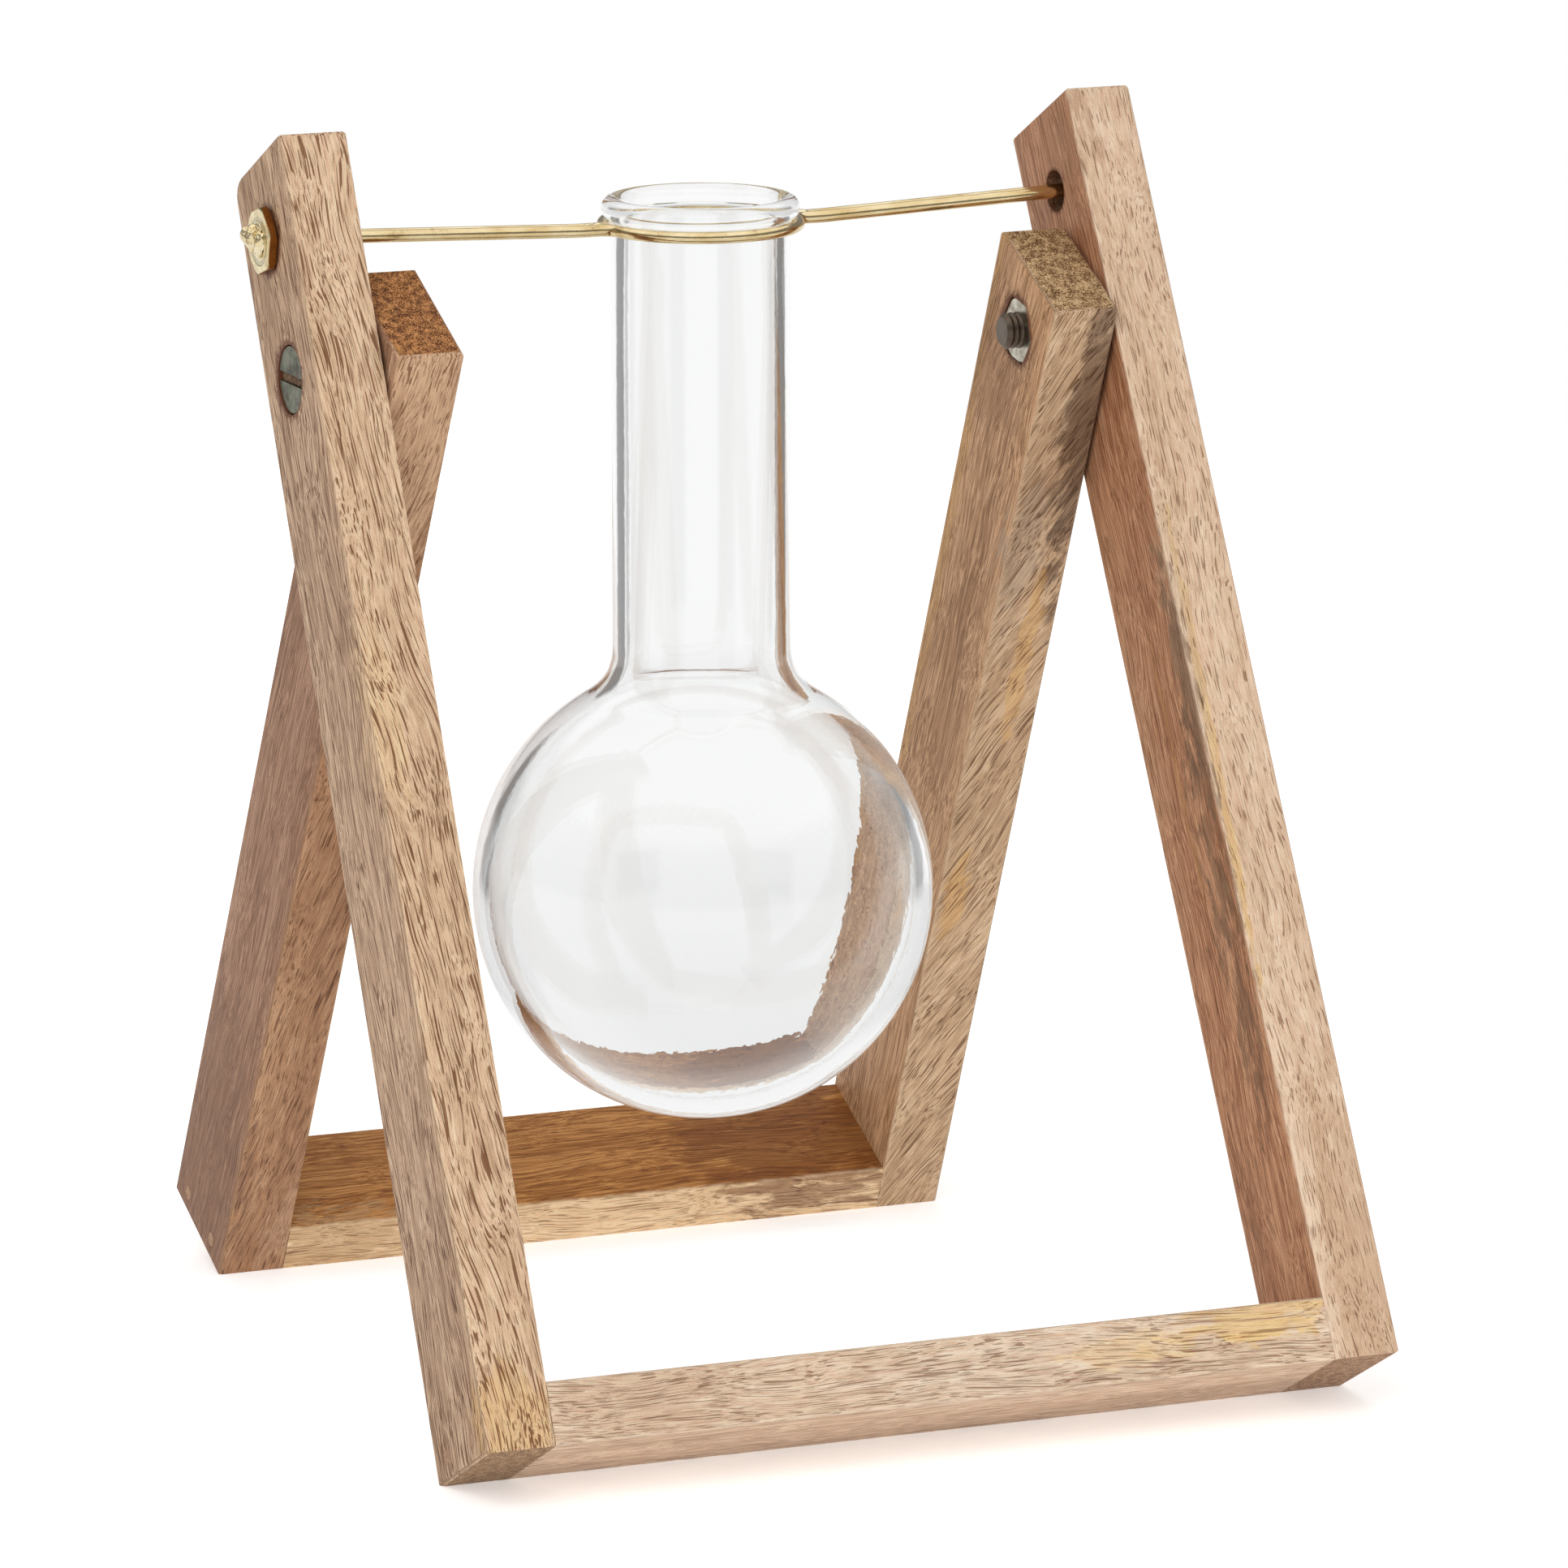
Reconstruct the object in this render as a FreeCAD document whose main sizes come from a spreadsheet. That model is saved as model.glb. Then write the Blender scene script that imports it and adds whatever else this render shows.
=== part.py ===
import FreeCAD, Part
import math
import os

import Sketcher

os.makedirs("parts", exist_ok=True)
doc = FreeCAD.newDocument("PropagationVase")
sizes = doc.addObject("Spreadsheet::Sheet", "Sizes")


# Driving dimensions, in millimetres and degrees

DIMENSIONS = [
    # wooden bars and the two frames that they make
    ("bar_width", 11.5, "narrow side of every bar, along X"),
    ("bar_depth", 24.2, "wide side of every bar"),
    ("front_pivot_height", 178.7, "pivot above the foot, along the front leg"),
    ("back_pivot_height", 176.8, "pivot above the foot, along the back leg"),
    ("front_leg_top", 37.3, "front leg above the pivot"),
    ("back_leg_top", 11.7, "back leg above the pivot"),
    ("front_rail_height", 10.4, "front rail, along the legs"),
    ("back_rail_height", 9.1, "back rail, along the legs"),
    ("stand_width", 150.1, "over the front legs, at the pivot"),
    ("toe_in_angle", 1.0, "lean of each leg towards the middle, upwards"),
    ("opening_angle", 53.2, "between the two frames as the stand stands"),
    ("frame_gap", 0.55, "between front and back leg at the pivot"),
    ("foot_flat_depth", 0.5, "sanded off the edge that meets the table"),
    ("edge_round", 0.8, "sanded edges of the bars"),
    # pivot screws and their nuts
    ("screw_diameter", 6.0, "shank"),
    ("screw_head_diameter", 11.0, "countersunk head, 90 degree cone"),
    ("screw_head_edge", 0.4, "straight rim of the head"),
    ("screw_length", 26.0, "over all"),
    ("screw_tip", 0.6, "chamfer at the end of the thread"),
    ("screw_head_sink", 0.2, "head below the wood"),
    ("slot_width", 1.6, "screwdriver slot"),
    ("slot_depth", 1.6, "screwdriver slot"),
    ("nut_flats", 10.0, "steel nut across flats"),
    ("nut_thickness", 5.0, "steel nut"),
    ("nut_sink", 0.2, "nut below the inner face"),
    ("nut_turn", 15.6, "corner of the steel nut from the line of the leg"),
    ("pivot_fit", 0.05, "radial clearance of the screw in the front leg"),
    ("head_clearance", 0.15, "round the screw head"),
    ("nut_clearance", 0.1, "round the steel nut"),
    # rail joints
    ("nail_diameter", 1.6, "finishing nail"),
    ("nail_head_diameter", 2.4, "nail head, and the filler plug over it"),
    ("nail_head_height", 1.0, "nail head"),
    ("nail_length", 30.0, "from head to point"),
    ("nail_point", 2.0, "tapered point"),
    ("nail_tip_diameter", 0.4, "blunt end of the point"),
    ("nail_spacing", 12.6, "between the two nails of a joint"),
    ("nail_height", 3.6, "nails above the foot, along the leg"),
    ("plug_depth", 2.0, "filler over the nail head"),
    # wire holder
    ("wire_diameter", 2.0, "brass rod"),
    ("wire_gap", 0.1, "between the two rods of a pair"),
    ("wire_bend", 12.0, "gentle bend where a pair starts to sag"),
    ("holder_height", 23.5, "holder axis above the pivot, along the front leg"),
    ("holder_bore", 7.0, "hole for the pair in the front leg"),
    ("holder_sag", 1.6, "ring below the holder axis"),
    ("ring_clearance", 0.3, "between wire and neck"),
    ("ring_bend", 2.6, "bend from the pair into the ring"),
    ("ring_lead", 3.0, "level stretch of the pair beside the ring"),
    ("ring_braze_diameter", 2.8, "brazed bead between the wires"),
    ("holder_nut_flats", 10.0, "brass nut across flats"),
    ("holder_nut_bore", 5.4, "hole of the brass nut"),
    ("holder_nut_thickness", 1.4, "brass nut"),
    ("holder_nut_gap", 0.25, "between brass nut and leg"),
    ("holder_nut_turn", 12.0, "corner of the brass nut from upright"),
    ("wire_end_rise", 1.5, "domed braze outside the brass nut"),
    # glass flask
    ("bulb_diameter", 76.0, "outside"),
    ("bulb_wall", 2.6, "side of the bulb"),
    ("base_thickness", 2.8, "foot of the bulb"),
    ("neck_diameter", 29.4, "outside"),
    ("neck_wall", 2.2, "wall of the neck"),
    ("neck_blend", 9.0, "outer corner between neck and bulb"),
    ("rim_diameter", 32.6, "over the rolled rim"),
    ("flask_height", 153.3, "over all"),
    ("rest_gap", 0.2, "between rim and ring"),
    # one overrun serves all cuts
    ("overrun", 5.0, "how far a cut runs past the wood"),
]

for row, (alias, number, note) in enumerate(DIMENSIONS, start=1):
    sizes.set(f"A{row}", alias)
    sizes.set(f"B{row}", str(number))
    sizes.set(f"C{row}", note)
    sizes.setAlias(f"B{row}", alias)
doc.recompute()


# Worked out from the driving dimensions, as expressions

class Size:
    """Reads an alias of the sheet as an expression."""

    def __getattr__(self, alias):
        return f"Sizes.{alias}"


size = Size()


def number(expression):
    """The present value of an expression."""
    result = sizes.evalExpression(str(expression).replace("Sizes.", ""))
    return float(getattr(result, "Value", result))


half_depth = f"({size.bar_depth} / 2)"
toe_share = f"tan({size.toe_in_angle})"

# Both frames touch the table with one edge, so their lean follows from the opening.
front_reach = f"sqrt({size.front_pivot_height}^2 + {half_depth}^2)"
back_reach = f"sqrt({size.back_pivot_height}^2 + {half_depth}^2)"
front_offset = f"atan({half_depth} / {size.front_pivot_height})"
back_offset = f"atan({half_depth} / {size.back_pivot_height})"
reach_angle = f"({size.opening_angle} * 1deg - {front_offset} - {back_offset})"
front_lean = (
    f"({front_offset} + atan(({front_reach} - {back_reach} * cos({reach_angle}))"
    f" / ({back_reach} * sin({reach_angle}))))"
)
back_lean = f"({size.opening_angle} * 1deg - {front_lean})"
pivot_z = (
    f"({size.front_pivot_height} * cos({front_lean}) + {half_depth} * sin({front_lean})"
    f" - {size.foot_flat_depth})"
)

# The bounding box in plan is centred on the origin.
front_foot_y = f"({half_depth} * cos({front_lean}) + {size.front_pivot_height} * sin({front_lean}))"
back_foot_y = f"({half_depth} * cos({back_lean}) + {size.back_pivot_height} * sin({back_lean}))"
pivot_y = f"(({front_foot_y} - {back_foot_y}) / 2)"
holder_y = f"({pivot_y} + {size.holder_height} * sin({front_lean}))"
holder_z = f"({pivot_z} + {size.holder_height} * cos({front_lean}))"

FRONT = {
    "lean": f"(-{front_lean})",
    "half_width": f"({size.stand_width} / 2)",
    "foot": f"(-{size.front_pivot_height})",
    "top": size.front_leg_top,
    "rail_height": size.front_rail_height,
}
BACK = {
    "lean": back_lean,
    "half_width": f"({size.stand_width} / 2 - {size.bar_width} - {size.frame_gap})",
    "foot": f"(-{size.back_pivot_height})",
    "top": size.back_leg_top,
    "rail_height": size.back_rail_height,
}
SIDES = {"left": -1, "right": 1}

screw_radius = f"({size.screw_diameter} / 2)"
head_radius = f"({size.screw_head_diameter} / 2)"
screw_face = f"({FRONT['half_width']} - {size.screw_head_sink})"
nut_face = f"({BACK['half_width']} - {size.bar_width} + {size.nut_sink})"
holder_face = f"({FRONT['half_width']} - {size.holder_height} * {toe_share} + {size.holder_nut_gap})"


def outer_x(frame, height):
    """Outer face of a leg at a height above the pivot."""
    return f"({frame['half_width']} - {height} * {toe_share})"


def inner_x(frame, height):
    """Inner face of a leg at a height above the pivot."""
    return f"({outer_x(frame, height)} - {size.bar_width})"


# Building blocks

def place(thing, lean="0", y=pivot_y, z=pivot_z):
    """Puts a thing at a height, turned about the X axis."""
    thing.Placement = FreeCAD.Placement(
        FreeCAD.Vector(0, number(y), number(z)),
        FreeCAD.Rotation(FreeCAD.Vector(1, 0, 0), number(lean)),
    )
    thing.setExpression("Placement.Base.y", y)
    thing.setExpression("Placement.Base.z", z)
    if lean != "0":
        thing.setExpression("Placement.Rotation.Angle", lean)


def new_body(label):
    body = doc.addObject("PartDesign::Body", label)
    body.Label = label
    return body


def origin_feature(body, role):
    return next(feature for feature in body.Origin.OriginFeatures if feature.Role == role)


def new_sketch(body, name, role, offset=None):
    """A sketch on an origin plane of its body, moved along the plane's normal."""
    sketch = body.newObject("Sketcher::SketchObject", name)
    sketch.AttachmentSupport = [(origin_feature(body, role), "")]
    sketch.MapMode = "FlatFace"
    if offset is not None:
        sketch.setExpression("AttachmentOffset.Base.z", offset)
    return sketch


def bind(sketch, constraint, expression):
    index = sketch.addConstraint(constraint)
    sketch.setExpression(f"Constraints[{index}]", expression)


def locate(sketch, element, point, x, y):
    """Holds one point of a sketch at two distances from its origin."""
    bind(sketch, Sketcher.Constraint("DistanceX", -1, 1, element, point, number(x)), str(x))
    bind(sketch, Sketcher.Constraint("DistanceY", -1, 1, element, point, number(y)), str(y))


def arc_between(start, end, radius, side):
    """Arc from start to end, with its centre on the left (1) or right (-1) of the chord."""
    chord = end - start
    middle = (start + end) / 2
    normal = FreeCAD.Vector(-chord.y, chord.x, 0).normalize()
    height = math.sqrt(max(radius**2 - (chord.Length / 2) ** 2, 0))
    centre = middle + normal * height * side
    first, last = (start, end) if side > 0 else (end, start)
    circle = Part.Circle(centre, FreeCAD.Vector(0, 0, 1), radius)
    first_angle = math.atan2(first.y - centre.y, first.x - centre.x)
    last_angle = math.atan2(last.y - centre.y, last.x - centre.x)
    return Part.ArcOfCircle(circle, first_angle, last_angle)


def draw_outline(sketch, corners, arcs=None):
    """A closed outline. arcs gives the radius and side of each side that isn't straight."""
    arcs = arcs or {}
    points = [FreeCAD.Vector(number(x), number(y), 0) for x, y in corners]
    starts = []
    ends = []
    for index, start in enumerate(points):
        end = points[(index + 1) % len(points)]
        if index in arcs:
            radius, side = arcs[index]
            element = sketch.addGeometry(arc_between(start, end, number(radius), side), False)
            bind(sketch, Sketcher.Constraint("Radius", element, number(radius)), str(radius))
            starts.append((element, 1 if side > 0 else 2))
            ends.append((element, 2 if side > 0 else 1))
        else:
            element = sketch.addGeometry(Part.LineSegment(start, end), False)
            starts.append((element, 1))
            ends.append((element, 2))
    for index, end in enumerate(ends):
        following = starts[(index + 1) % len(starts)]
        sketch.addConstraint(Sketcher.Constraint("Coincident", *end, *following))
    for (element, point), (x, y) in zip(starts, corners):
        locate(sketch, element, point, x, y)


def draw_circle(sketch, x, y, diameter):
    centre = FreeCAD.Vector(number(x), number(y), 0)
    circle = Part.Circle(centre, FreeCAD.Vector(0, 0, 1), number(diameter) / 2)
    element = sketch.addGeometry(circle, False)
    bind(sketch, Sketcher.Constraint("Diameter", element, number(diameter)), str(diameter))
    locate(sketch, element, 3, x, y)


def draw_hexagon(sketch, flats, corner_turn):
    """A hexagon with corners at the top and the bottom, turned by an angle."""
    corners = []
    for corner in range(6):
        angle = f"{30 + 60 * corner} + {corner_turn}"
        reach = f"({flats} / sqrt(3))"
        corners.append((f"{reach} * cos({angle})", f"{reach} * sin({angle})"))
    draw_outline(sketch, corners)


def pad(body, sketch, length, outward=None):
    """Pads both ways, or along X to the given side."""
    feature = body.newObject("PartDesign::Pad", "Pad")
    feature.Profile = sketch
    feature.setExpression("Length", length)
    if outward is None:
        feature.SideType = "Symmetric"
    else:
        feature.Reversed = outward < 0
    doc.recompute()
    return feature


def pocket(body, sketch, outward=None):
    """Cuts right through both ways, or along X to the given side only."""
    before = body.Shape.Volume
    feature = body.newObject("PartDesign::Pocket", "Pocket")
    feature.Profile = sketch
    feature.Type = "ThroughAll"
    if outward is None:
        feature.SideType = "Symmetric"
    else:
        feature.Reversed = outward > 0
    doc.recompute()
    assert body.Shape.Volume < before, f"{body.Label}: {sketch.Label} cuts nothing"
    return feature


def turn(body, sketch, role, kind="PartDesign::Revolution"):
    """Revolves or grooves a sketch all the way round an origin axis."""
    feature = body.newObject(kind, kind.split("::")[1])
    feature.Profile = sketch
    feature.ReferenceAxis = (origin_feature(body, role), [""])
    feature.Angle = 360
    doc.recompute()
    return feature


# Wooden bars

def sand_foot(body, frame):
    """Cuts the edge that the bar stands on level with the table."""
    lean = frame["lean"]
    near = f"({frame['foot']} * sin({lean}) * -1 - {size.bar_depth})"
    far = f"({frame['foot']} * sin({lean}) * -1 + {size.bar_depth})"
    high = f"(-{pivot_z})"
    low = f"(-{pivot_z} - {size.overrun})"
    corners = [
        (f"{y} * cos({lean}) + {z} * sin({lean})", f"{z} * cos({lean}) - {y} * sin({lean})")
        for y, z in ((near, high), (near, low), (far, low), (far, high))
    ]
    sketch = new_sketch(body, "FootFlat", "YZ_Plane")
    draw_outline(sketch, corners)
    pocket(body, sketch)


def nail_places(frame):
    """The two nails of a joint, across the bar's depth and up the leg."""
    z = f"({frame['foot']} + {size.nail_height})"
    return [(f"({share} * {size.nail_spacing})", z) for share in (-0.5, 0.5)]


def drill_nails(body, name, frame, diameter, depth_x=None, outward=None):
    sketch = new_sketch(body, name, "YZ_Plane", depth_x)
    for y, z in nail_places(frame):
        draw_circle(sketch, y, z, diameter)
    pocket(body, sketch, outward)


def round_edges(body, base, wanted):
    """Rounds the edges whose corners are all wanted."""
    names = []
    for index, edge in enumerate(base.Shape.Edges, start=1):
        if all(wanted(vertex.Point) for vertex in edge.Vertexes):
            names.append(f"Edge{index}")
    feature = body.newObject("PartDesign::Fillet", "Fillet")
    feature.Base = (base, names)
    feature.setExpression("Radius", size.edge_round)
    doc.recompute()


def nail_head_x(frame):
    """Where the filler ends and the nail head starts."""
    return f"({outer_x(frame, nail_places(frame)[0][1])} - {size.plug_depth})"


def make_leg(label, frame, side):
    """A bar with its outer edges rounded and its nail holes, toed in upwards."""
    body = new_body(label)
    place(body, frame["lean"])
    foot, top = frame["foot"], frame["top"]
    sketch = new_sketch(body, "FrontView", "XZ_Plane")
    draw_outline(sketch, [
        (f"{side} * {outer_x(frame, foot)}", foot),
        (f"{side} * {outer_x(frame, top)}", top),
        (f"{side} * {inner_x(frame, top)}", top),
        (f"{side} * {inner_x(frame, foot)}", foot),
    ])
    bar = pad(body, sketch, size.bar_depth)
    middle = number(inner_x(frame, "0")) + number(size.bar_width) / 2
    lean_share = number(toe_share)
    top_z = number(top)

    def outside_or_on_top(point):
        on_top = point.z > top_z - number(size.edge_round)
        return on_top or abs(point.x) > middle - point.z * lean_share

    round_edges(body, bar, outside_or_on_top)
    sand_foot(body, frame)
    drill_nails(body, "NailHoles", frame, size.nail_diameter)
    head_bottom = f"{side} * ({nail_head_x(frame)} - {size.nail_head_height})"
    drill_nails(body, "NailHeadHoles", frame, size.nail_head_diameter, head_bottom, side)
    return body


def make_front_leg(label, side):
    """Adds the countersunk pivot hole and the hole for the wire pair."""
    body = make_leg(label, FRONT, side)
    bore = new_sketch(body, "PivotHole", "YZ_Plane")
    draw_circle(bore, "0", "0", f"({size.screw_diameter} + 2 * {size.pivot_fit})")
    pocket(body, bore)
    bore = new_sketch(body, "WireHole", "YZ_Plane")
    draw_circle(bore, "0", size.holder_height, size.holder_bore)
    pocket(body, bore)
    wide = f"({head_radius} + {size.head_clearance})"
    narrow = f"({screw_radius} + {size.pivot_fit})"
    rim = f"({screw_face} - {size.screw_head_edge} - {size.head_clearance})"
    outside = f"({screw_face} + {size.overrun})"
    tip = f"({rim} - ({wide} - {narrow}))"
    sketch = new_sketch(body, "Countersink", "XY_Plane")
    draw_outline(sketch, [
        (f"{side} * {outside}", "0"),
        (f"{side} * {outside}", wide),
        (f"{side} * {rim}", wide),
        (f"{side} * {tip}", narrow),
        (f"{side} * {tip}", "0"),
    ])
    turn(body, sketch, "X_Axis", "PartDesign::Groove")
    return body


def make_back_leg(label, side):
    """Adds the pivot hole and the recess for the steel nut."""
    body = make_leg(label, BACK, side)
    bore = new_sketch(body, "PivotHole", "YZ_Plane")
    draw_circle(bore, "0", "0", size.screw_diameter)
    pocket(body, bore)
    floor = f"{side} * ({nut_face} + {size.nut_thickness})"
    recess = new_sketch(body, "NutRecess", "YZ_Plane", floor)
    draw_hexagon(recess, f"({size.nut_flats} + 2 * {size.nut_clearance})", size.nut_turn)
    pocket(body, recess, -side)
    return body


def make_rail(label, frame):
    """A bar between the two inner faces, drilled for the nails at both ends."""
    body = new_body(label)
    place(body, frame["lean"])
    foot = frame["foot"]
    top = f"({foot} + {frame['rail_height']})"
    sketch = new_sketch(body, "FrontView", "XZ_Plane")
    draw_outline(sketch, [
        (f"-{inner_x(frame, foot)}", foot),
        (inner_x(frame, foot), foot),
        (inner_x(frame, top), top),
        (f"-{inner_x(frame, top)}", top),
    ])
    bar = pad(body, sketch, size.bar_depth)
    top_z = number(top)
    round_edges(body, bar, lambda point: point.z > top_z - number(size.edge_round))
    sand_foot(body, frame)
    for side_name, side in SIDES.items():
        tip = f"{side} * ({nail_head_x(frame)} - {size.nail_length})"
        drill_nails(body, f"NailHoles{side_name}", frame, size.nail_diameter, tip, side)
    return body


# Nails and the filler over them

def along_x(thing, x, y, z, side):
    """Lays a round primitive along X, pointing to the middle of the stand."""
    thing.Placement = FreeCAD.Placement(
        FreeCAD.Vector(0, 0, 0), FreeCAD.Rotation(FreeCAD.Vector(0, -side, 0), 90)
    )
    thing.setExpression("Placement.Base.x", x)
    thing.setExpression("Placement.Base.y", y)
    thing.setExpression("Placement.Base.z", z)


def make_cylinder(name, diameter, length):
    cylinder = doc.addObject("Part::Cylinder", name)
    cylinder.setExpression("Radius", f"{diameter} / 2")
    cylinder.setExpression("Height", length)
    return cylinder


def make_nail(name, frame, side, y, z):
    """Head, shank and tapered point."""
    head_x = f"({side} * {nail_head_x(frame)})"
    head = make_cylinder(f"{name}_head", size.nail_head_diameter, size.nail_head_height)
    along_x(head, head_x, y, z, side)
    shank_length = f"({size.nail_length} - {size.nail_point})"
    shank = make_cylinder(f"{name}_shank", size.nail_diameter, shank_length)
    along_x(shank, head_x, y, z, side)
    point = doc.addObject("Part::Cone", f"{name}_point")
    point.setExpression("Radius1", f"{size.nail_diameter} / 2")
    point.setExpression("Radius2", f"{size.nail_tip_diameter} / 2")
    point.setExpression("Height", size.nail_point)
    along_x(point, f"({head_x} - {side} * {shank_length})", y, z, side)
    nail = doc.addObject("Part::MultiFuse", name)
    nail.Shapes = [head, shank, point]
    return nail


def make_group(label, frame, members):
    group = doc.addObject("Part::Compound", label)
    group.Label = label
    group.Links = members
    place(group, frame["lean"])
    return group


def make_nails_and_plugs(joint, frame, side):
    nails = []
    plugs = []
    for index, (y, z) in enumerate(nail_places(frame)):
        nails.append(make_nail(f"{joint}_nail_{index}", frame, side, y, z))
        plug = make_cylinder(f"{joint}_plug_{index}", size.nail_head_diameter, size.plug_depth)
        along_x(plug, f"{side} * ({nail_head_x(frame)} + {size.plug_depth})", y, z, side)
        plugs.append(plug)
    return [
        make_group(f"{joint}_nails", frame, nails),
        make_group(f"{joint}_plugs", frame, plugs),
    ]


# Pivot screws and nuts

def make_screw(label, side):
    """Countersunk screw turned about the pivot axis, with its slot level."""
    body = new_body(label)
    place(body)
    rim = f"({screw_face} - {size.screw_head_edge})"
    neck = f"({rim} - ({head_radius} - {screw_radius}))"
    end = f"({screw_face} - {size.screw_length})"
    sketch = new_sketch(body, "Profile", "XY_Plane")
    draw_outline(sketch, [
        (f"{side} * {screw_face}", "0"),
        (f"{side} * {screw_face}", head_radius),
        (f"{side} * {rim}", head_radius),
        (f"{side} * {neck}", screw_radius),
        (f"{side} * ({end} + {size.screw_tip})", screw_radius),
        (f"{side} * {end}", f"({screw_radius} - {size.screw_tip})"),
        (f"{side} * {end}", "0"),
    ])
    turn(body, sketch, "X_Axis")
    slot = new_sketch(body, "Slot", "YZ_Plane", f"{side} * ({screw_face} - {size.slot_depth})")
    draw_outline(slot, [
        (f"{y} * {size.screw_head_diameter}", f"{z} * {size.slot_width}")
        for y, z in ((-1, -0.5), (1, -0.5), (1, 0.5), (-1, 0.5))
    ])
    pocket(body, slot, side)
    return body


def make_nut(label, flats, corner_turn, bore, face, thickness, side):
    """Hexagon nut whose inner face is at a distance from the middle."""
    body = new_body(label)
    sketch = new_sketch(body, "Hexagon", "YZ_Plane", f"{side} * {face}")
    draw_hexagon(sketch, flats, corner_turn)
    draw_circle(sketch, "0", "0", bore)
    pad(body, sketch, thickness, side)
    return body


# Wire holder

wire_radius = f"({size.wire_diameter} / 2)"
neck_radius = f"({size.neck_diameter} / 2)"
ring_radius = f"({neck_radius} + {size.ring_clearance} + {wire_radius})"
pair_offset = f"({wire_radius} + {size.wire_gap} / 2)"
ring_reach = (
    f"sqrt(({ring_radius} + {size.ring_bend})^2 - ({size.ring_bend} + {pair_offset})^2)"
)


def rounded_run(points, radius):
    """Straight runs joined by tangent arcs of one radius."""
    edges = []
    start = points[0]
    for before, corner, after in zip(points, points[1:], points[2:]):
        inward = (before - corner).normalize()
        onward = (after - corner).normalize()
        half_angle = inward.getAngle(onward) / 2
        reach = radius / math.tan(half_angle)
        bisector = (inward + onward).normalize()
        middle = corner + bisector * (radius / math.sin(half_angle) - radius)
        first = corner + inward * reach
        last = corner + onward * reach
        edges.append(Part.LineSegment(start, first).toShape())
        edges.append(Part.Arc(first, middle, last).toShape())
        start = last
    edges.append(Part.LineSegment(start, points[-1]).toShape())
    return edges


def wire_route(side):
    """Half of the holder: a sagging run, a half ring round the neck and a run out again."""
    sag = -number(size.holder_sag)
    ring = number(ring_radius)
    bend = number(size.ring_bend)
    offset = number(pair_offset)
    reach = number(ring_reach)
    bore_mouth = number(f"{holder_face} - {size.bar_width}")
    lead = reach + number(size.ring_lead)
    run = rounded_run([
        FreeCAD.Vector(-number(holder_face), side * offset, 0),
        FreeCAD.Vector(-bore_mouth, side * offset, 0),
        FreeCAD.Vector(-lead, side * offset, sag),
        FreeCAD.Vector(-reach, side * offset, sag),
    ], number(size.wire_bend))
    bend_centre = FreeCAD.Vector(-reach, side * (offset + bend), 0)
    towards_ring = (bend_centre * -1).normalize()
    joint = bend_centre + towards_ring * bend
    half_way = FreeCAD.Vector(0, -side, 0) + towards_ring
    middle = bend_centre + half_way.normalize() * bend
    level = FreeCAD.Vector(0, 0, sag)
    bend_start = FreeCAD.Vector(-reach, side * offset, 0)
    run.append(Part.Arc(bend_start + level, middle + level, joint + level).toShape())
    mirrored_joint = FreeCAD.Vector(-joint.x, joint.y, 0)
    front = FreeCAD.Vector(0, side * ring, 0)
    ring_arc = Part.Arc(joint + level, front + level, mirrored_joint + level).toShape()
    far_run = []
    for edge in reversed(run):
        far_run.append(edge.mirror(FreeCAD.Vector(0, 0, 0), FreeCAD.Vector(1, 0, 0)))
    return Part.Wire(Part.__sortEdges__(run + [ring_arc] + far_run))


def make_wire(label, side):
    """A round rod swept along its route. The route is the part of a sweep that a sketch can't hold."""
    route = doc.addObject("Part::Feature", f"{label}_route")
    route.Shape = wire_route(side)
    section = doc.addObject("Part::Circle", f"{label}_section")
    section.setExpression("Radius", wire_radius)
    section.Placement = FreeCAD.Placement(
        FreeCAD.Vector(0, 0, 0), FreeCAD.Rotation(FreeCAD.Vector(0, 1, 0), 90)
    )
    section.setExpression("Placement.Base.x", f"-{holder_face}")
    section.setExpression("Placement.Base.y", f"{side} * {pair_offset}")
    wire = doc.addObject("Part::Sweep", label)
    wire.Label = label
    wire.Sections = [section]
    wire.Spine = (route, [f"Edge{index + 1}" for index in range(len(route.Shape.Edges))])
    wire.Solid = True
    wire.Frenet = False
    wire.Transition = "Transformed"
    place(wire, "0", holder_y, holder_z)
    return wire


def make_ring_braze(label, side, wires):
    """Bead of braze in the notch where the two wires part."""
    ball = doc.addObject("Part::Sphere", f"{label}_ball")
    ball.setExpression("Radius", f"{size.ring_braze_diameter} / 2")
    ball.setExpression("Placement.Base.x", f"{side} * ({ring_reach} - {wire_radius} / 2)")
    ball.setExpression("Placement.Base.y", holder_y)
    ball.setExpression("Placement.Base.z", f"{holder_z} - {size.holder_sag}")
    both_wires = doc.addObject("Part::Compound", f"{label}_wires")
    both_wires.Links = wires
    bead = doc.addObject("Part::Cut", label)
    bead.Label = label
    bead.Base = ball
    bead.Tool = both_wires
    return bead


def make_wire_end(label, side):
    """Braze that fills the brass nut and stands out as a low dome."""
    body = new_body(label)
    place(body, "0", holder_y, holder_z)
    bore = f"({size.holder_nut_bore} / 2)"
    outside = f"({holder_face} + {size.holder_nut_thickness})"
    dome_radius = f"(({bore}^2 + {size.wire_end_rise}^2) / (2 * {size.wire_end_rise}))"
    sketch = new_sketch(body, "Profile", "XY_Plane")
    corners = [
        (f"{side} * {holder_face}", "0"),
        (f"{side} * ({outside} + {size.wire_end_rise})", "0"),
        (f"{side} * {outside}", bore),
        (f"{side} * {holder_face}", bore),
    ]
    draw_outline(sketch, corners, {1: (dome_radius, side)})
    turn(body, sketch, "X_Axis")
    return body


# Glass flask

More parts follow.
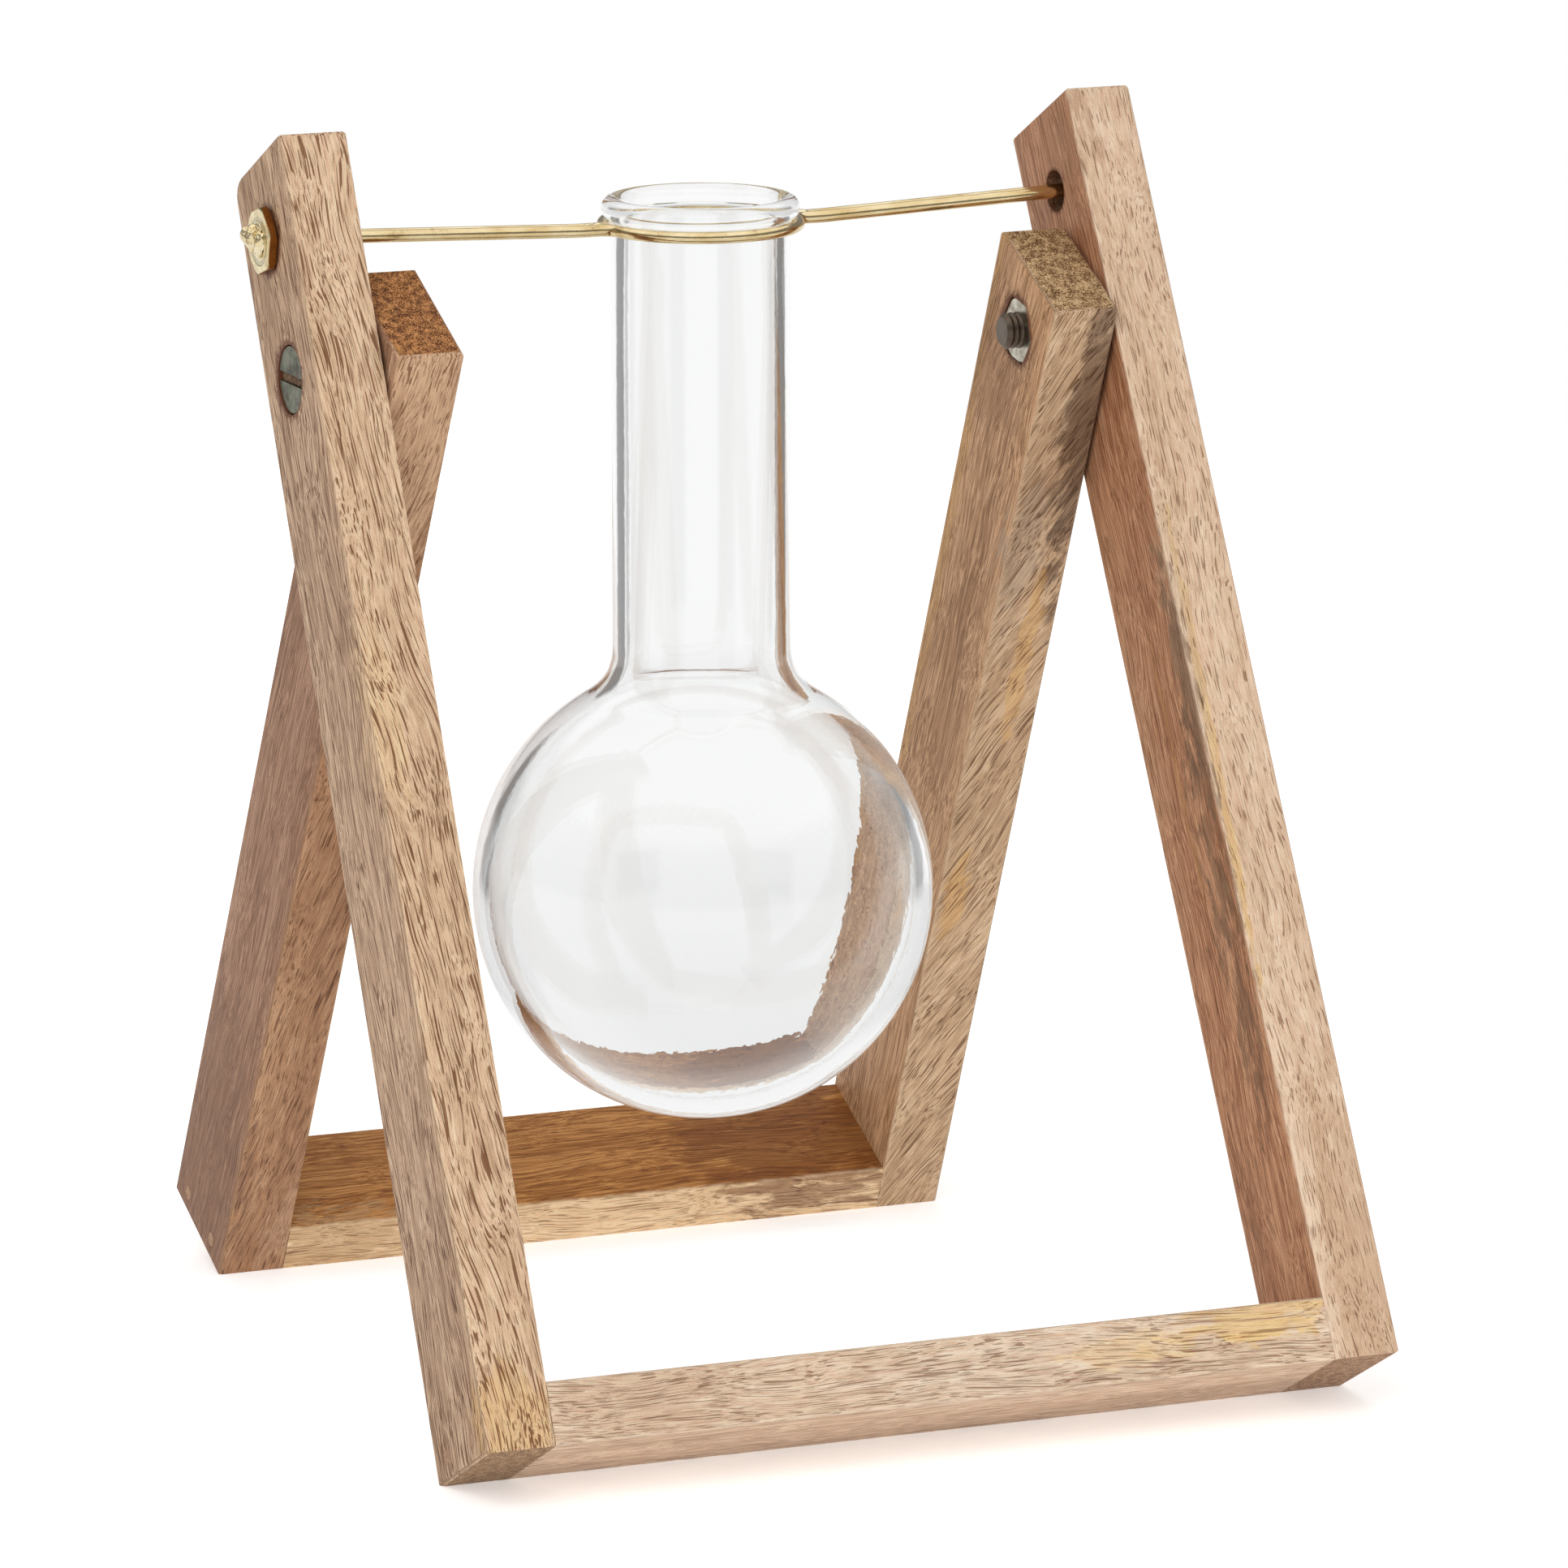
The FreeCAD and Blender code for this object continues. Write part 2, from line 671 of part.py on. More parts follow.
bulb_radius = f"({size.bulb_diameter} / 2)"
bore_radius = f"({neck_radius} - {size.neck_wall})"
rim_radius = f"({size.rim_diameter} / 2)"
bead_radius = f"(({rim_radius} - {bore_radius}) / 2)"
bead_centre = f"({rim_radius} - {bead_radius})"
bulb_z = f"({bead_radius} - {size.flask_height} + {bulb_radius})"
flask_z = (
    f"({holder_z} - {size.holder_sag} + sqrt(({bead_radius} + {wire_radius} + {size.rest_gap})^2"
    f" - ({ring_radius} - {bead_centre})^2))"
)


def make_flask(label):
    """A ball with a thick foot, a straight neck and a rolled rim, turned about the neck's axis."""
    body = new_body(label)
    place(body, "0", holder_y, flask_z)
    blend = size.neck_blend
    blend_x = f"({neck_radius} + {blend})"
    blend_rise = f"sqrt(({bulb_radius} + {blend})^2 - {blend_x}^2)"
    bulb_share = f"({bulb_radius} / ({bulb_radius} + {blend}))"
    hollow_radius = f"({bulb_radius} - {size.bulb_wall})"
    inner_blend = f"({blend} + {size.neck_wall})"
    hollow_corner_x = f"({bore_radius} + {inner_blend})"
    inner_rise = f"sqrt(({hollow_radius} + {inner_blend})^2 - {hollow_corner_x}^2)"
    hollow_share = f"({hollow_radius} / ({hollow_radius} + {inner_blend}))"
    hollow_depth = f"({bulb_radius} - {size.base_thickness})"
    floor_radius = f"(({hollow_radius}^2 + {hollow_depth}^2) / (2 * {hollow_depth}))"
    under_bead = f"(-sqrt({bead_radius}^2 - ({neck_radius} - {bead_centre})^2))"
    corners = [
        ("0", f"{bulb_z} - {bulb_radius}"),
        (bulb_radius, bulb_z),
        (f"{blend_x} * {bulb_share}", f"{bulb_z} + {blend_rise} * {bulb_share}"),
        (neck_radius, f"{bulb_z} + {blend_rise}"),
        (neck_radius, under_bead),
        (rim_radius, "0"),
        (bead_centre, bead_radius),
        (bore_radius, "0"),
        (bore_radius, f"{bulb_z} + {inner_rise}"),
        (f"{hollow_corner_x} * {hollow_share}", f"{bulb_z} + {inner_rise} * {hollow_share}"),
        (hollow_radius, bulb_z),
        ("0", f"{bulb_z} - {hollow_depth}"),
    ]
    arcs = {
        0: (bulb_radius, 1),
        1: (bulb_radius, 1),
        2: (blend, -1),
        4: (bead_radius, 1),
        5: (bead_radius, 1),
        6: (bead_radius, 1),
        8: (inner_blend, 1),
        9: (hollow_radius, -1),
        10: (floor_radius, -1),
    }
    sketch = new_sketch(body, "Profile", "XZ_Plane")
    draw_outline(sketch, corners, arcs)
    turn(body, sketch, "Z_Axis")
    return body


# Assembly

nodes = [make_rail("front_rail", FRONT), make_rail("back_rail", BACK)]
for side_name, side in SIDES.items():
    nodes.append(make_front_leg(f"front_{side_name}_leg", side))
    nodes.append(make_back_leg(f"back_{side_name}_leg", side))
    nodes += make_nails_and_plugs(f"front_{side_name}", FRONT, side)
    nodes += make_nails_and_plugs(f"back_{side_name}", BACK, side)
    nodes.append(make_screw(f"pivot_screw_{side_name}", side))
    steel_nut = make_nut(
        f"pivot_nut_{side_name}",
        size.nut_flats,
        size.nut_turn,
        size.screw_diameter,
        nut_face,
        size.nut_thickness,
        side,
    )
    place(steel_nut, BACK["lean"])
    brass_nut = make_nut(
        f"holder_nut_{side_name}",
        size.holder_nut_flats,
        size.holder_nut_turn,
        size.holder_nut_bore,
        holder_face,
        size.holder_nut_thickness,
        side,
    )
    place(brass_nut, "0", holder_y, holder_z)
    nodes += [steel_nut, brass_nut, make_wire_end(f"wire_end_{side_name}", side)]
wires = [make_wire("holder_front_wire", -1), make_wire("holder_back_wire", 1)]
nodes += wires
for side_name, side in SIDES.items():
    nodes.append(make_ring_braze(f"ring_braze_{side_name}", side, wires))
nodes.append(make_flask("glass_flask"))
doc.recompute()


# Checks, then one file for each node

for thing in doc.Objects:
    faults = [state for state in thing.State if state in ("Invalid", "Error")]
    assert not faults, f"{thing.Label}: {thing.State}"
for node in nodes:
    assert not node.Shape.isNull() and node.Shape.isValid(), f"{node.Label} has no valid shape"
    solids = len(node.Shape.Solids)
    assert solids > 0, f"{node.Label} has no solid"
    node.Shape.exportStep(f"parts/{node.Label}.step")
    print(f"{node.Label}: {solids} solid(s), {node.Shape.Volume:.1f} mm3")
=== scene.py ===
import math
from functools import partialmethod

import bpy
from mathutils import Matrix, Vector


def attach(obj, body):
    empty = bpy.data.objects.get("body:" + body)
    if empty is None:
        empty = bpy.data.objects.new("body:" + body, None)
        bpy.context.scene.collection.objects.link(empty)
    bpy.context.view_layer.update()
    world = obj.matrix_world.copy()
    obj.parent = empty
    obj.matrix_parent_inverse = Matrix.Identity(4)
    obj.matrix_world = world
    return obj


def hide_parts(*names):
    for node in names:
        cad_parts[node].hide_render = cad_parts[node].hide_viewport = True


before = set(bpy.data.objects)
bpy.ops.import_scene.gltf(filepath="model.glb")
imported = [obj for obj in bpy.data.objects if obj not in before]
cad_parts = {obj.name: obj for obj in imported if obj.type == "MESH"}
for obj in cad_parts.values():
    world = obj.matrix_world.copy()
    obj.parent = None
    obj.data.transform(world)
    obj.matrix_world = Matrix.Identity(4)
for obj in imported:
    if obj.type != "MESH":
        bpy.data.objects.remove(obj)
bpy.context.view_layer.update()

mm = 0.001
sides = {"left": -1, "right": 1}
usual = (0.3, 0.7)  # nearly all of a noise pattern lies between these
print("frame loaded:", len(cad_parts), "nodes")

# All sizes below are in millimetres and degrees unless a note says otherwise.

stand = {
    "pivot": (2.3215, 163.836),  # Y and Z
    "holder": (13.1025, 184.7171),
    "lean": {"front": -27.3077, "back": 25.8923},
    "toeIn": math.tan(math.radians(1)),  # sideways per height
}


# selecting, placing and carving

def inMetres(sizes):
    return [size * mm for size in sizes]


def dropAll():
    bpy.ops.object.select_all(action="DESELECT")


def takeUp(piece):
    dropAll()
    piece.select_set(True)
    bpy.context.view_layer.objects.active = piece


def editMode(piece, kind, action="SELECT"):
    takeUp(piece)
    bpy.ops.object.mode_set(mode="EDIT")
    bpy.ops.mesh.select_mode(type=kind)
    bpy.ops.mesh.select_all(action=action)


def leaveEdit():
    bpy.ops.object.mode_set(mode="OBJECT")


def pickEdges(piece, wanted):  # wanted gets the two ends of an edge
    editMode(piece, "EDGE", "DESELECT")
    leaveEdit()
    points = piece.data.vertices
    for edge in piece.data.edges:
        first, last = (points[index].co for index in edge.vertices)
        edge.select = bool(wanted(first, last))
    bpy.ops.object.mode_set(mode="EDIT")


def bevelEdges(piece, wanted, offset, segments):
    pickEdges(piece, wanted)
    bpy.ops.mesh.bevel(offset=offset * mm, segments=segments)
    leaveEdit()


def named(name):  # what was added last
    piece = bpy.context.object
    piece.name = name
    return piece


def settle(piece):  # the place goes into the mesh
    takeUp(piece)
    bpy.ops.object.transform_apply()


def putAt(piece, y, z, lean=0.0, x=0.0):
    piece.location = inMetres((x, y, z))
    piece.rotation_euler = (math.radians(lean), 0, 0)
    settle(piece)


def outwards(piece):
    editMode(piece, "VERT")
    bpy.ops.mesh.remove_doubles(threshold=0.000002)
    bpy.ops.mesh.normals_make_consistent()
    leaveEdit()


def smooth(piece, angle=32):  # edges sharper than this stay sharp
    takeUp(piece)
    bpy.ops.object.shade_smooth_by_angle(angle=math.radians(angle))


def addModifier(piece, kind, **settings):
    modifier = piece.modifiers.new(kind.title(), kind)
    for key, value in settings.items():
        setattr(modifier, key, value)
    takeUp(piece)
    bpy.ops.object.modifier_apply(modifier=modifier.name)


def carve(piece, tool, operation="DIFFERENCE"):
    addModifier(piece, "BOOLEAN", operation=operation, object=tool, solver="EXACT")
    bpy.data.objects.remove(tool)


def makeBox(name, size, place):
    dropAll()
    bpy.ops.mesh.primitive_cube_add(size=1, location=inMetres(place), scale=inMetres(size))
    box = named(name)
    settle(box)
    return box


def drawOut(x, z):
    bpy.ops.mesh.extrude_region_move(TRANSFORM_OT_translate={"value": (x * mm, 0, z * mm)})


def turned(name, steps, y=0.0, z=0.0, segments=48):
    # a disc across X, drawn out and resized step by step; steps are (x, radius)
    dropAll()
    lastX, lastRadius = steps[0]
    bpy.ops.mesh.primitive_circle_add(
        vertices=segments, radius=lastRadius * mm, fill_type="NGON", rotation=(0, math.pi / 2, 0)
    )
    piece = named(name)
    settle(piece)
    putAt(piece, y, z, x=lastX)
    editMode(piece, "FACE")
    for x, radius in steps[1:]:
        drawOut(x - lastX, 0)
        share = radius / lastRadius
        bpy.ops.transform.resize(value=(1, share, share), center_override=inMetres((x, y, z)))
        lastX, lastRadius = x, radius
    leaveEdit()
    outwards(piece)
    return piece


def bore(piece, radius, start, end, y=0.0, z=0.0, segments=64):
    carve(piece, turned("boreTool", [(start, radius), (end, radius)], y, z, segments))


def roughen(piece, amount, grain, seed=(0, 0, 0)):
    # small dents and lumps; the pattern is moved by shifting the mesh and back
    pattern = bpy.data.textures.new(piece.name + "Lumps", "CLOUDS")
    pattern.noise_scale = grain * mm
    shift = Vector(seed)
    piece.data.transform(Matrix.Translation(shift))
    addModifier(piece, "DISPLACE", texture=pattern, strength=amount * mm, texture_coords="LOCAL")
    piece.data.transform(Matrix.Translation(-shift))
    bpy.data.textures.remove(pattern)


# short names for the nodes of a finish

class Nodes:
    def __init__(self, tree):
        self.tree = tree

    def add(self, kind, inputs=None, **settings):
        node = self.tree.nodes.new("ShaderNode" + kind)
        for key, value in settings.items():
            setattr(node, key, value)
        for key, value in (inputs or {}).items():
            self.put(node.inputs[key], value)
        return node

    def put(self, socket, value):
        if isinstance(value, bpy.types.NodeSocket):
            self.tree.links.new(value, socket)
        else:
            socket.default_value = value

    def maths(self, kind, first, second=0.0):
        return self.add("Math", {0: first, 1: second}, operation=kind).outputs[0]

    plus = partialmethod(maths, "ADD")
    minus = partialmethod(maths, "SUBTRACT")
    times = partialmethod(maths, "MULTIPLY")

    def vector(self, kind, first, second=(0, 0, 0)):
        node = self.add("VectorMath", {0: first, 1: second}, operation=kind)
        return node.outputs["Value" if kind in ("LENGTH", "DOT_PRODUCT") else "Vector"]

    def split(self, vector):
        return self.add("SeparateXYZ", {0: vector}).outputs

    def between(self, value, low, high, start=0.0, end=1.0):
        inputs = dict(enumerate((value, low, high, start, end)))
        return self.add("MapRange", inputs, interpolation_type="SMOOTHSTEP").outputs[0]

    def stretch(self, vector, scale=(1, 1, 1), shift=(0, 0, 0), turn=(0, 0, 0), kind="POINT"):
        turn = [math.radians(angle) for angle in turn]
        inputs = {"Vector": vector, "Scale": scale, "Location": shift, "Rotation": turn}
        return self.add("Mapping", inputs, vector_type=kind).outputs[0]

    def noise(self, vector, scale, detail=2.0, roughness=0.5, shift=(0, 0, 0), colour=False):
        inputs = {"Vector": self.stretch(vector, scale, shift), "Scale": 1.0, "Detail": detail}
        node = self.add("TexNoise", {**inputs, "Roughness": roughness})
        return node.outputs["Color" if colour else "Fac"]

    def mix(self, kind, share, first, second, **settings):
        place = ("FLOAT", "VECTOR", "RGBA").index(kind)
        ends = {0: share, 2 + 2 * place: first, 3 + 2 * place: second}
        return self.add("Mix", ends, data_type=kind, **settings).outputs[place]

    def blend(self, share, first, second, kind="MIX"):
        return self.mix("RGBA", share, first, second, blend_type=kind)

    def mixShaders(self, share, first, second):
        return self.add("MixShader", {0: share, 1: first, 2: second}).outputs[0]

    def glow(self, strength):
        return self.add("Emission", {"Strength": strength}).outputs[0]

    def ramp(self, value, places, colours):
        node = self.add("ValToRGB", {"Fac": value})
        points = node.color_ramp.elements
        while len(points) < len(places):
            points.new(0.5)
        for point, place, colour in zip(points, places, colours):
            point.position = place
            point.color = colour
        return node.outputs["Color"]

    def bump(self, height, distance, strength=1.0, before=None):
        node = self.add("Bump", {"Height": height, "Distance": distance, "Strength": strength})
        if before is not None:
            self.put(node.inputs["Normal"], before)
        return node.outputs["Normal"]


class Finish(Nodes):
    def __init__(self, name):
        self.material = bpy.data.materials.new(name)
        self.material.use_nodes = True
        super().__init__(self.material.node_tree)
        self.shader = self.tree.nodes["Principled BSDF"]
        self.output = self.tree.nodes["Material Output"]
        coordinates = self.add("TexCoord").outputs
        self.spot, self.facing = coordinates["Object"], coordinates["Normal"]

    def shade(self, name, value):  # a value or a pattern, on the shader's own socket
        self.put(self.shader.inputs[name], value)

    def shaded(self, name):  # the pattern that the socket has so far
        return self.shader.inputs[name].links[0].from_socket

    def giveTo(self, piece):
        piece.data.materials.clear()
        piece.data.materials.append(self.material)


def tone(red, green, blue):  # a colour as it is seen on a screen, 0 to 255
    def linear(value):
        share = value / 255
        return share / 12.92 if share <= 0.04045 else ((share + 0.055) / 1.055) ** 2.4
    return (linear(red), linear(green), linear(blue), 1.0)


def tones(colours):
    return [tone(*colour) for colour in colours]


# camera

camera = {
    "target": (-8.91, -43.44, 101.43),
    "azimuth": 22.518,  # towards -X from straight in front
    "elevation": 11.742,
    "roll": -0.096,
    "distance": 1621.22,
    "lens": 234.05,
    "clip": (50, 20000),
}


def placeCamera():
    azimuth = math.radians(camera["azimuth"])
    elevation = math.radians(camera["elevation"])
    back = Vector((
        -math.sin(azimuth) * math.cos(elevation),
        -math.cos(azimuth) * math.cos(elevation),
        math.sin(elevation),
    ))
    target = Vector(camera["target"]) * mm
    dropAll()
    bpy.ops.object.camera_add(location=target + back * camera["distance"] * mm)
    eye = named("standCamera")
    turn = (-back).to_track_quat("-Z", "Y").to_matrix()
    roll = Matrix.Rotation(math.radians(camera["roll"]), 3, "Z")
    eye.rotation_euler = (turn @ roll).to_euler()
    eye.data.lens = camera["lens"]
    eye.data.clip_start, eye.data.clip_end = inMetres(camera["clip"])
    bpy.context.scene.camera = eye


placeCamera()
print("camera placed")


# floor, backdrop and lamps

studio = {
    "floorRadius": 900,
    "floorGlow": 0.42,  # share of white that the floor has by itself
    "floorTones": ((0.86, 0.86, 0.86, 1), (0.88, 0.88, 0.88, 1)),
    "floorGrain": (60, 60, 60),  # per metre
    "tableFade": (301, 494.5),  # as far as the floor is seen in metal and glass
    "tableLevel": 0.93,
    "shadeFade": (128, 160),  # painted shade on the floor before the stand, which only polished metal mirrors
    "shadeDepth": (-40, 0),
    "shadeLevel": 0.38,
    "world": 0.6,  # plain level from all round
    "flagShade": 0.26,  # dark flags that only metal and glass see
    "flagAzimuths": (-14, 60),  # from +Y towards +X, and the same behind
    "flagFade": (14.85, 8.8),
    "flagTop": (0.1, 0.3),  # heights in the sky are from -1 to 1
    "flagFoot": (-0.45, -0.6),
    "bandHeights": (-0.02, 0.06),  # the dark room above the horizon, in metal
    "bandShade": 0.26,
    "highHeights": (0.42, 0.6),  # the bright sky in metal
    "highLevel": 1.2,
    "topHeights": (0.45, 0.8),
    "topShade": 0.75,
    "aim": (0, 0, 90),
}

lamps = {
    # name: place, size, watts
    "keyLamp": ((-620, -760, 900), 700, 5.4),
    "fillLamp": ((900, -700, 500), 800, 2.2),
    "backLamp": ((200, 900, 800), 700, 2.8),
}


def makeFloor():
    dropAll()
    bpy.ops.mesh.primitive_circle_add(vertices=128, radius=studio["floorRadius"] * mm, fill_type="NGON")
    floor = named("floor")
    paper = Finish("paper")
    cloudy = paper.between(paper.noise(paper.spot, studio["floorGrain"]), *usual)
    paper.shade("Base Color", paper.blend(cloudy, *studio["floorTones"]))
    paper.shade("Roughness", 0.9)
    paper.shade("Specular IOR Level", 0.0)
    glow = paper.glow(studio["floorGlow"])
    matt = paper.add("AddShader", {0: paper.shader.outputs[0], 1: glow}).outputs[0]

    # metal and glass see a glowing table, and past its edge the world; for metal the table has painted
    # shade before the stand
    rays = paper.add("LightPath").outputs
    glossy, through = rays["Is Glossy Ray"], rays["Is Transmission Ray"]
    reach = paper.vector("LENGTH", paper.spot)
    before = paper.between(paper.split(paper.spot)["Y"], *inMetres(studio["shadeDepth"]), 1.0, 0.0)
    near = paper.between(reach, *inMetres(studio["shadeFade"]), 1.0, 0.0)
    shaded = paper.times(paper.times(before, near), paper.minus(glossy, through))
    level = paper.between(shaded, 0.0, 1.0, studio["tableLevel"], studio["shadeLevel"])
    away = paper.between(reach, *inMetres(studio["tableFade"]))
    clear = paper.add("BsdfTransparent").outputs[0]
    table = paper.mixShaders(away, paper.glow(level), clear)
    shiny = paper.maths("MAXIMUM", glossy, through)
    paper.put(paper.output.inputs["Surface"], paper.mixShaders(shiny, matt, table))
    paper.giveTo(floor)


def makeWorld():
    world = bpy.data.worlds.new("studio")
    bpy.context.scene.world = world
    world.use_nodes = True
    sky = Nodes(world.node_tree)
    direction = sky.add("TexCoord").outputs["Generated"]
    height = sky.split(direction)["Z"]
    level = sky.vector("NORMALIZE", sky.vector("MULTIPLY", direction, (1, 1, 0)))
    edge, core = (math.cos(math.radians(angle)) for angle in studio["flagFade"])
    flags = 1.0
    for azimuth in studio["flagAzimuths"]:
        angle = math.radians(azimuth)
        towards = sky.vector("DOT_PRODUCT", level, (math.sin(angle), math.cos(angle), 0))
        flag = sky.between(sky.maths("ABSOLUTE", towards), edge, core, 1.0, studio["flagShade"])
        flags = sky.times(flags, flag)
    for heights in (studio["flagTop"], studio["flagFoot"]):
        flags = sky.maths("MAXIMUM", flags, sky.between(height, *heights))
    throughGlass = sky.times(flags, sky.between(height, *studio["topHeights"], 1.0, studio["topShade"]))
    band = sky.between(height, *studio["bandHeights"], 1.0, studio["bandShade"])
    high = sky.times(sky.between(height, *studio["highHeights"]), studio["highLevel"])
    inMetal = sky.maths("MAXIMUM", band, high)
    rays = sky.add("LightPath").outputs
    strength = sky.mix("FLOAT", rays["Is Glossy Ray"], studio["world"], inMetal)
    strength = sky.mix("FLOAT", rays["Is Transmission Ray"], strength, throughGlass)
    strength = sky.mix("FLOAT", rays["Is Camera Ray"], strength, 1.0)
    background = sky.tree.nodes["Background"].inputs
    sky.put(background["Strength"], strength)
    sky.put(background["Color"], (1, 1, 1, 1))


def makeLamps():
    middle = Vector(studio["aim"]) * mm
    for name, (place, size, watts) in lamps.items():
        dropAll()
        spot = Vector(place) * mm
        bpy.ops.object.light_add(type="AREA", location=spot)
        lamp = named(name)
        lamp.rotation_euler = (middle - spot).to_track_quat("-Z", "Y").to_euler()
        lamp.data.size = size * mm
        lamp.data.energy = watts
        lamp.visible_glossy = False  # the world gives glass and metal what they mirror
        lamp.visible_transmission = False


makeFloor()
makeWorld()
makeLamps()
bpy.context.scene.view_settings.view_transform = "Standard"
print("floor, world and lamps placed")


# wood

bars = {
    "width": 11.5,
    "depth": 24.2,
    "frontHalf": 75.05,  # outer face at the pivot
    "backHalf": 63,
    "frontFoot": -178.7,
    "frontTop": 37.3,
    "backFoot": -176.8,
    "backTop": 11.7,
    "frontRail": 10.4,
    "backRail": 9.1,
    "roundEdge": 0.8,
    "wornCorner": 3.4,  # top rear corner of the front left leg
    "sharpEdge": 0.22,  # the edges that lie against another bar
    "underEdge": 0.4,  # under a rail
    "longEdge": 50,  # no edge across a bar is as long
    "holderHeight": 23.5,
    "wireHole": 3.5,
    "screwHole": 3.05,
    "backHole": 3,
    "headHole": 5.65,
    "headRim": 74.3,
    "nutFlats": 10.2,
    "nutTurn": 15.6,
    "nutFloor": 56.7,
    "nutMouth": 40,  # well before the bar's inner face
    "nailHeight": 3.6,
    "nailSpacing": 12.6,
    "plugRadius": 1.2,
    "drill": (5, -20),  # where a drill starts and ends, from the outer face
    "plugDrill": (5, -3),
}


def outerX(half, height):
    return half - height * stand["toeIn"]


def makeBar(name, which, side):  # which is front or back
    half = bars[which + "Half"]
    foot, top = bars[which + "Foot"], bars[which + "Top"]
    bar = makeBox(
        name, (bars["width"], bars["depth"], top - foot),
        (side * (outerX(half, foot) - bars["width"] / 2), 0, (foot + top) / 2),
    )
    pickEdges(bar, lambda a, b: min(a.z, b.z) > 0)
    bpy.ops.transform.translate(value=(-side * (top - foot) * stand["toeIn"] * mm, 0, 0))
    leaveEdit()
    nearTop = (top - 1) * mm
    if name == "frontLeftLeg":
        bevelEdges(bar, lambda a, b: min(a.z, b.z) > nearTop and min(a.y, b.y) > 0, bars["wornCorner"], 4)
    middle = outerX(half, 0) - bars["width"] / 2
    inside = middle - bars["width"] / 3

    def across(point):  # as if the leg stood straight
        return (side * point.x + point.z * stand["toeIn"]) / mm

    def onOutside(a, b):
        return min(across(a), across(b)) > middle or min(a.z, b.z) > nearTop

    def alongInside(a, b):
        return max(across(a), across(b)) < inside and abs(a.z - b.z) > bars["longEdge"] * mm

    bevelEdges(bar, onOutside, bars["roundEdge"], 4)
    bevelEdges(bar, alongInside, bars["sharpEdge"], 2)
    return bar


def makeRail(name, which):
    half, foot = bars[which + "Half"], bars[which + "Foot"]
    top = foot + bars[which + "Rail"]
    middle = (foot + top) / 2
    low, high = (outerX(half, height) - bars["width"] for height in (foot, top))
    rail = makeBox(name, (2 * low, bars["depth"], top - foot), (0, 0, middle))
    pickEdges(rail, lambda a, b: min(a.z, b.z) > middle * mm)
    bpy.ops.transform.resize(value=(high / low, 1, 1), center_override=(0, 0, top * mm))
    leaveEdit()
    for up, offset, segments in ((1, bars["roundEdge"], 4), (-1, bars["underEdge"], 2)):
        bevelEdges(
            rail, lambda a, b: abs(a.x - b.x) > bars["longEdge"] * mm and up * (a.z - middle * mm) > 0,
            offset, segments,
        )
    return rail


def hexTool(name, flats, turn, lowX, highX, side):
    dropAll()
    bpy.ops.mesh.primitive_cylinder_add(
        vertices=6,
        radius=flats / math.sqrt(3) * mm,
        depth=(highX - lowX) * mm,
        location=(side * (highX + lowX) / 2 * mm, 0, 0),
        rotation=(0, math.pi / 2, 0),
    )
    tool = named(name)
    settle(tool)
    corner = tool.data.vertices[0].co
    now = math.degrees(math.atan2(corner.z, corner.y))
    putAt(tool, 0, 0, 30 + turn - now)  # 30 degrees from a flat to a corner
    return tool


def drillBar(bar, which, side):
    half, foot = bars[which + "Half"], bars[which + "Foot"]
    start, end = (side * (half + reach) for reach in bars["drill"])
    if which == "front":
        rim, wide, narrow = bars["headRim"], bars["headHole"], bars["screwHole"]
        carve(bar, turned("sinkTool", [
            (start, wide), (side * rim, wide), (side * (rim - wide + narrow), narrow), (end, narrow),
        ], segments=64))
        bore(bar, bars["wireHole"], start, end, z=bars["holderHeight"])
    else:
        bore(bar, bars["backHole"], start, end, segments=48)
        carve(bar, hexTool(
            "recessTool", bars["nutFlats"], bars["nutTurn"], bars["nutMouth"], bars["nutFloor"], side
        ))
    nailZ = foot + bars["nailHeight"]
    start, end = (side * (outerX(half, nailZ) + reach) for reach in bars["plugDrill"])
    for share in (-0.5, 0.5):
        bore(bar, bars["plugRadius"], start, end, share * bars["nailSpacing"], nailZ, 32)


def sandFoot(bar):  # the edge that meets the table is cut level
    editMode(bar, "FACE")
    bpy.ops.mesh.bisect(plane_no=(0, 0, 1), use_fill=True, clear_inner=True)
    leaveEdit()
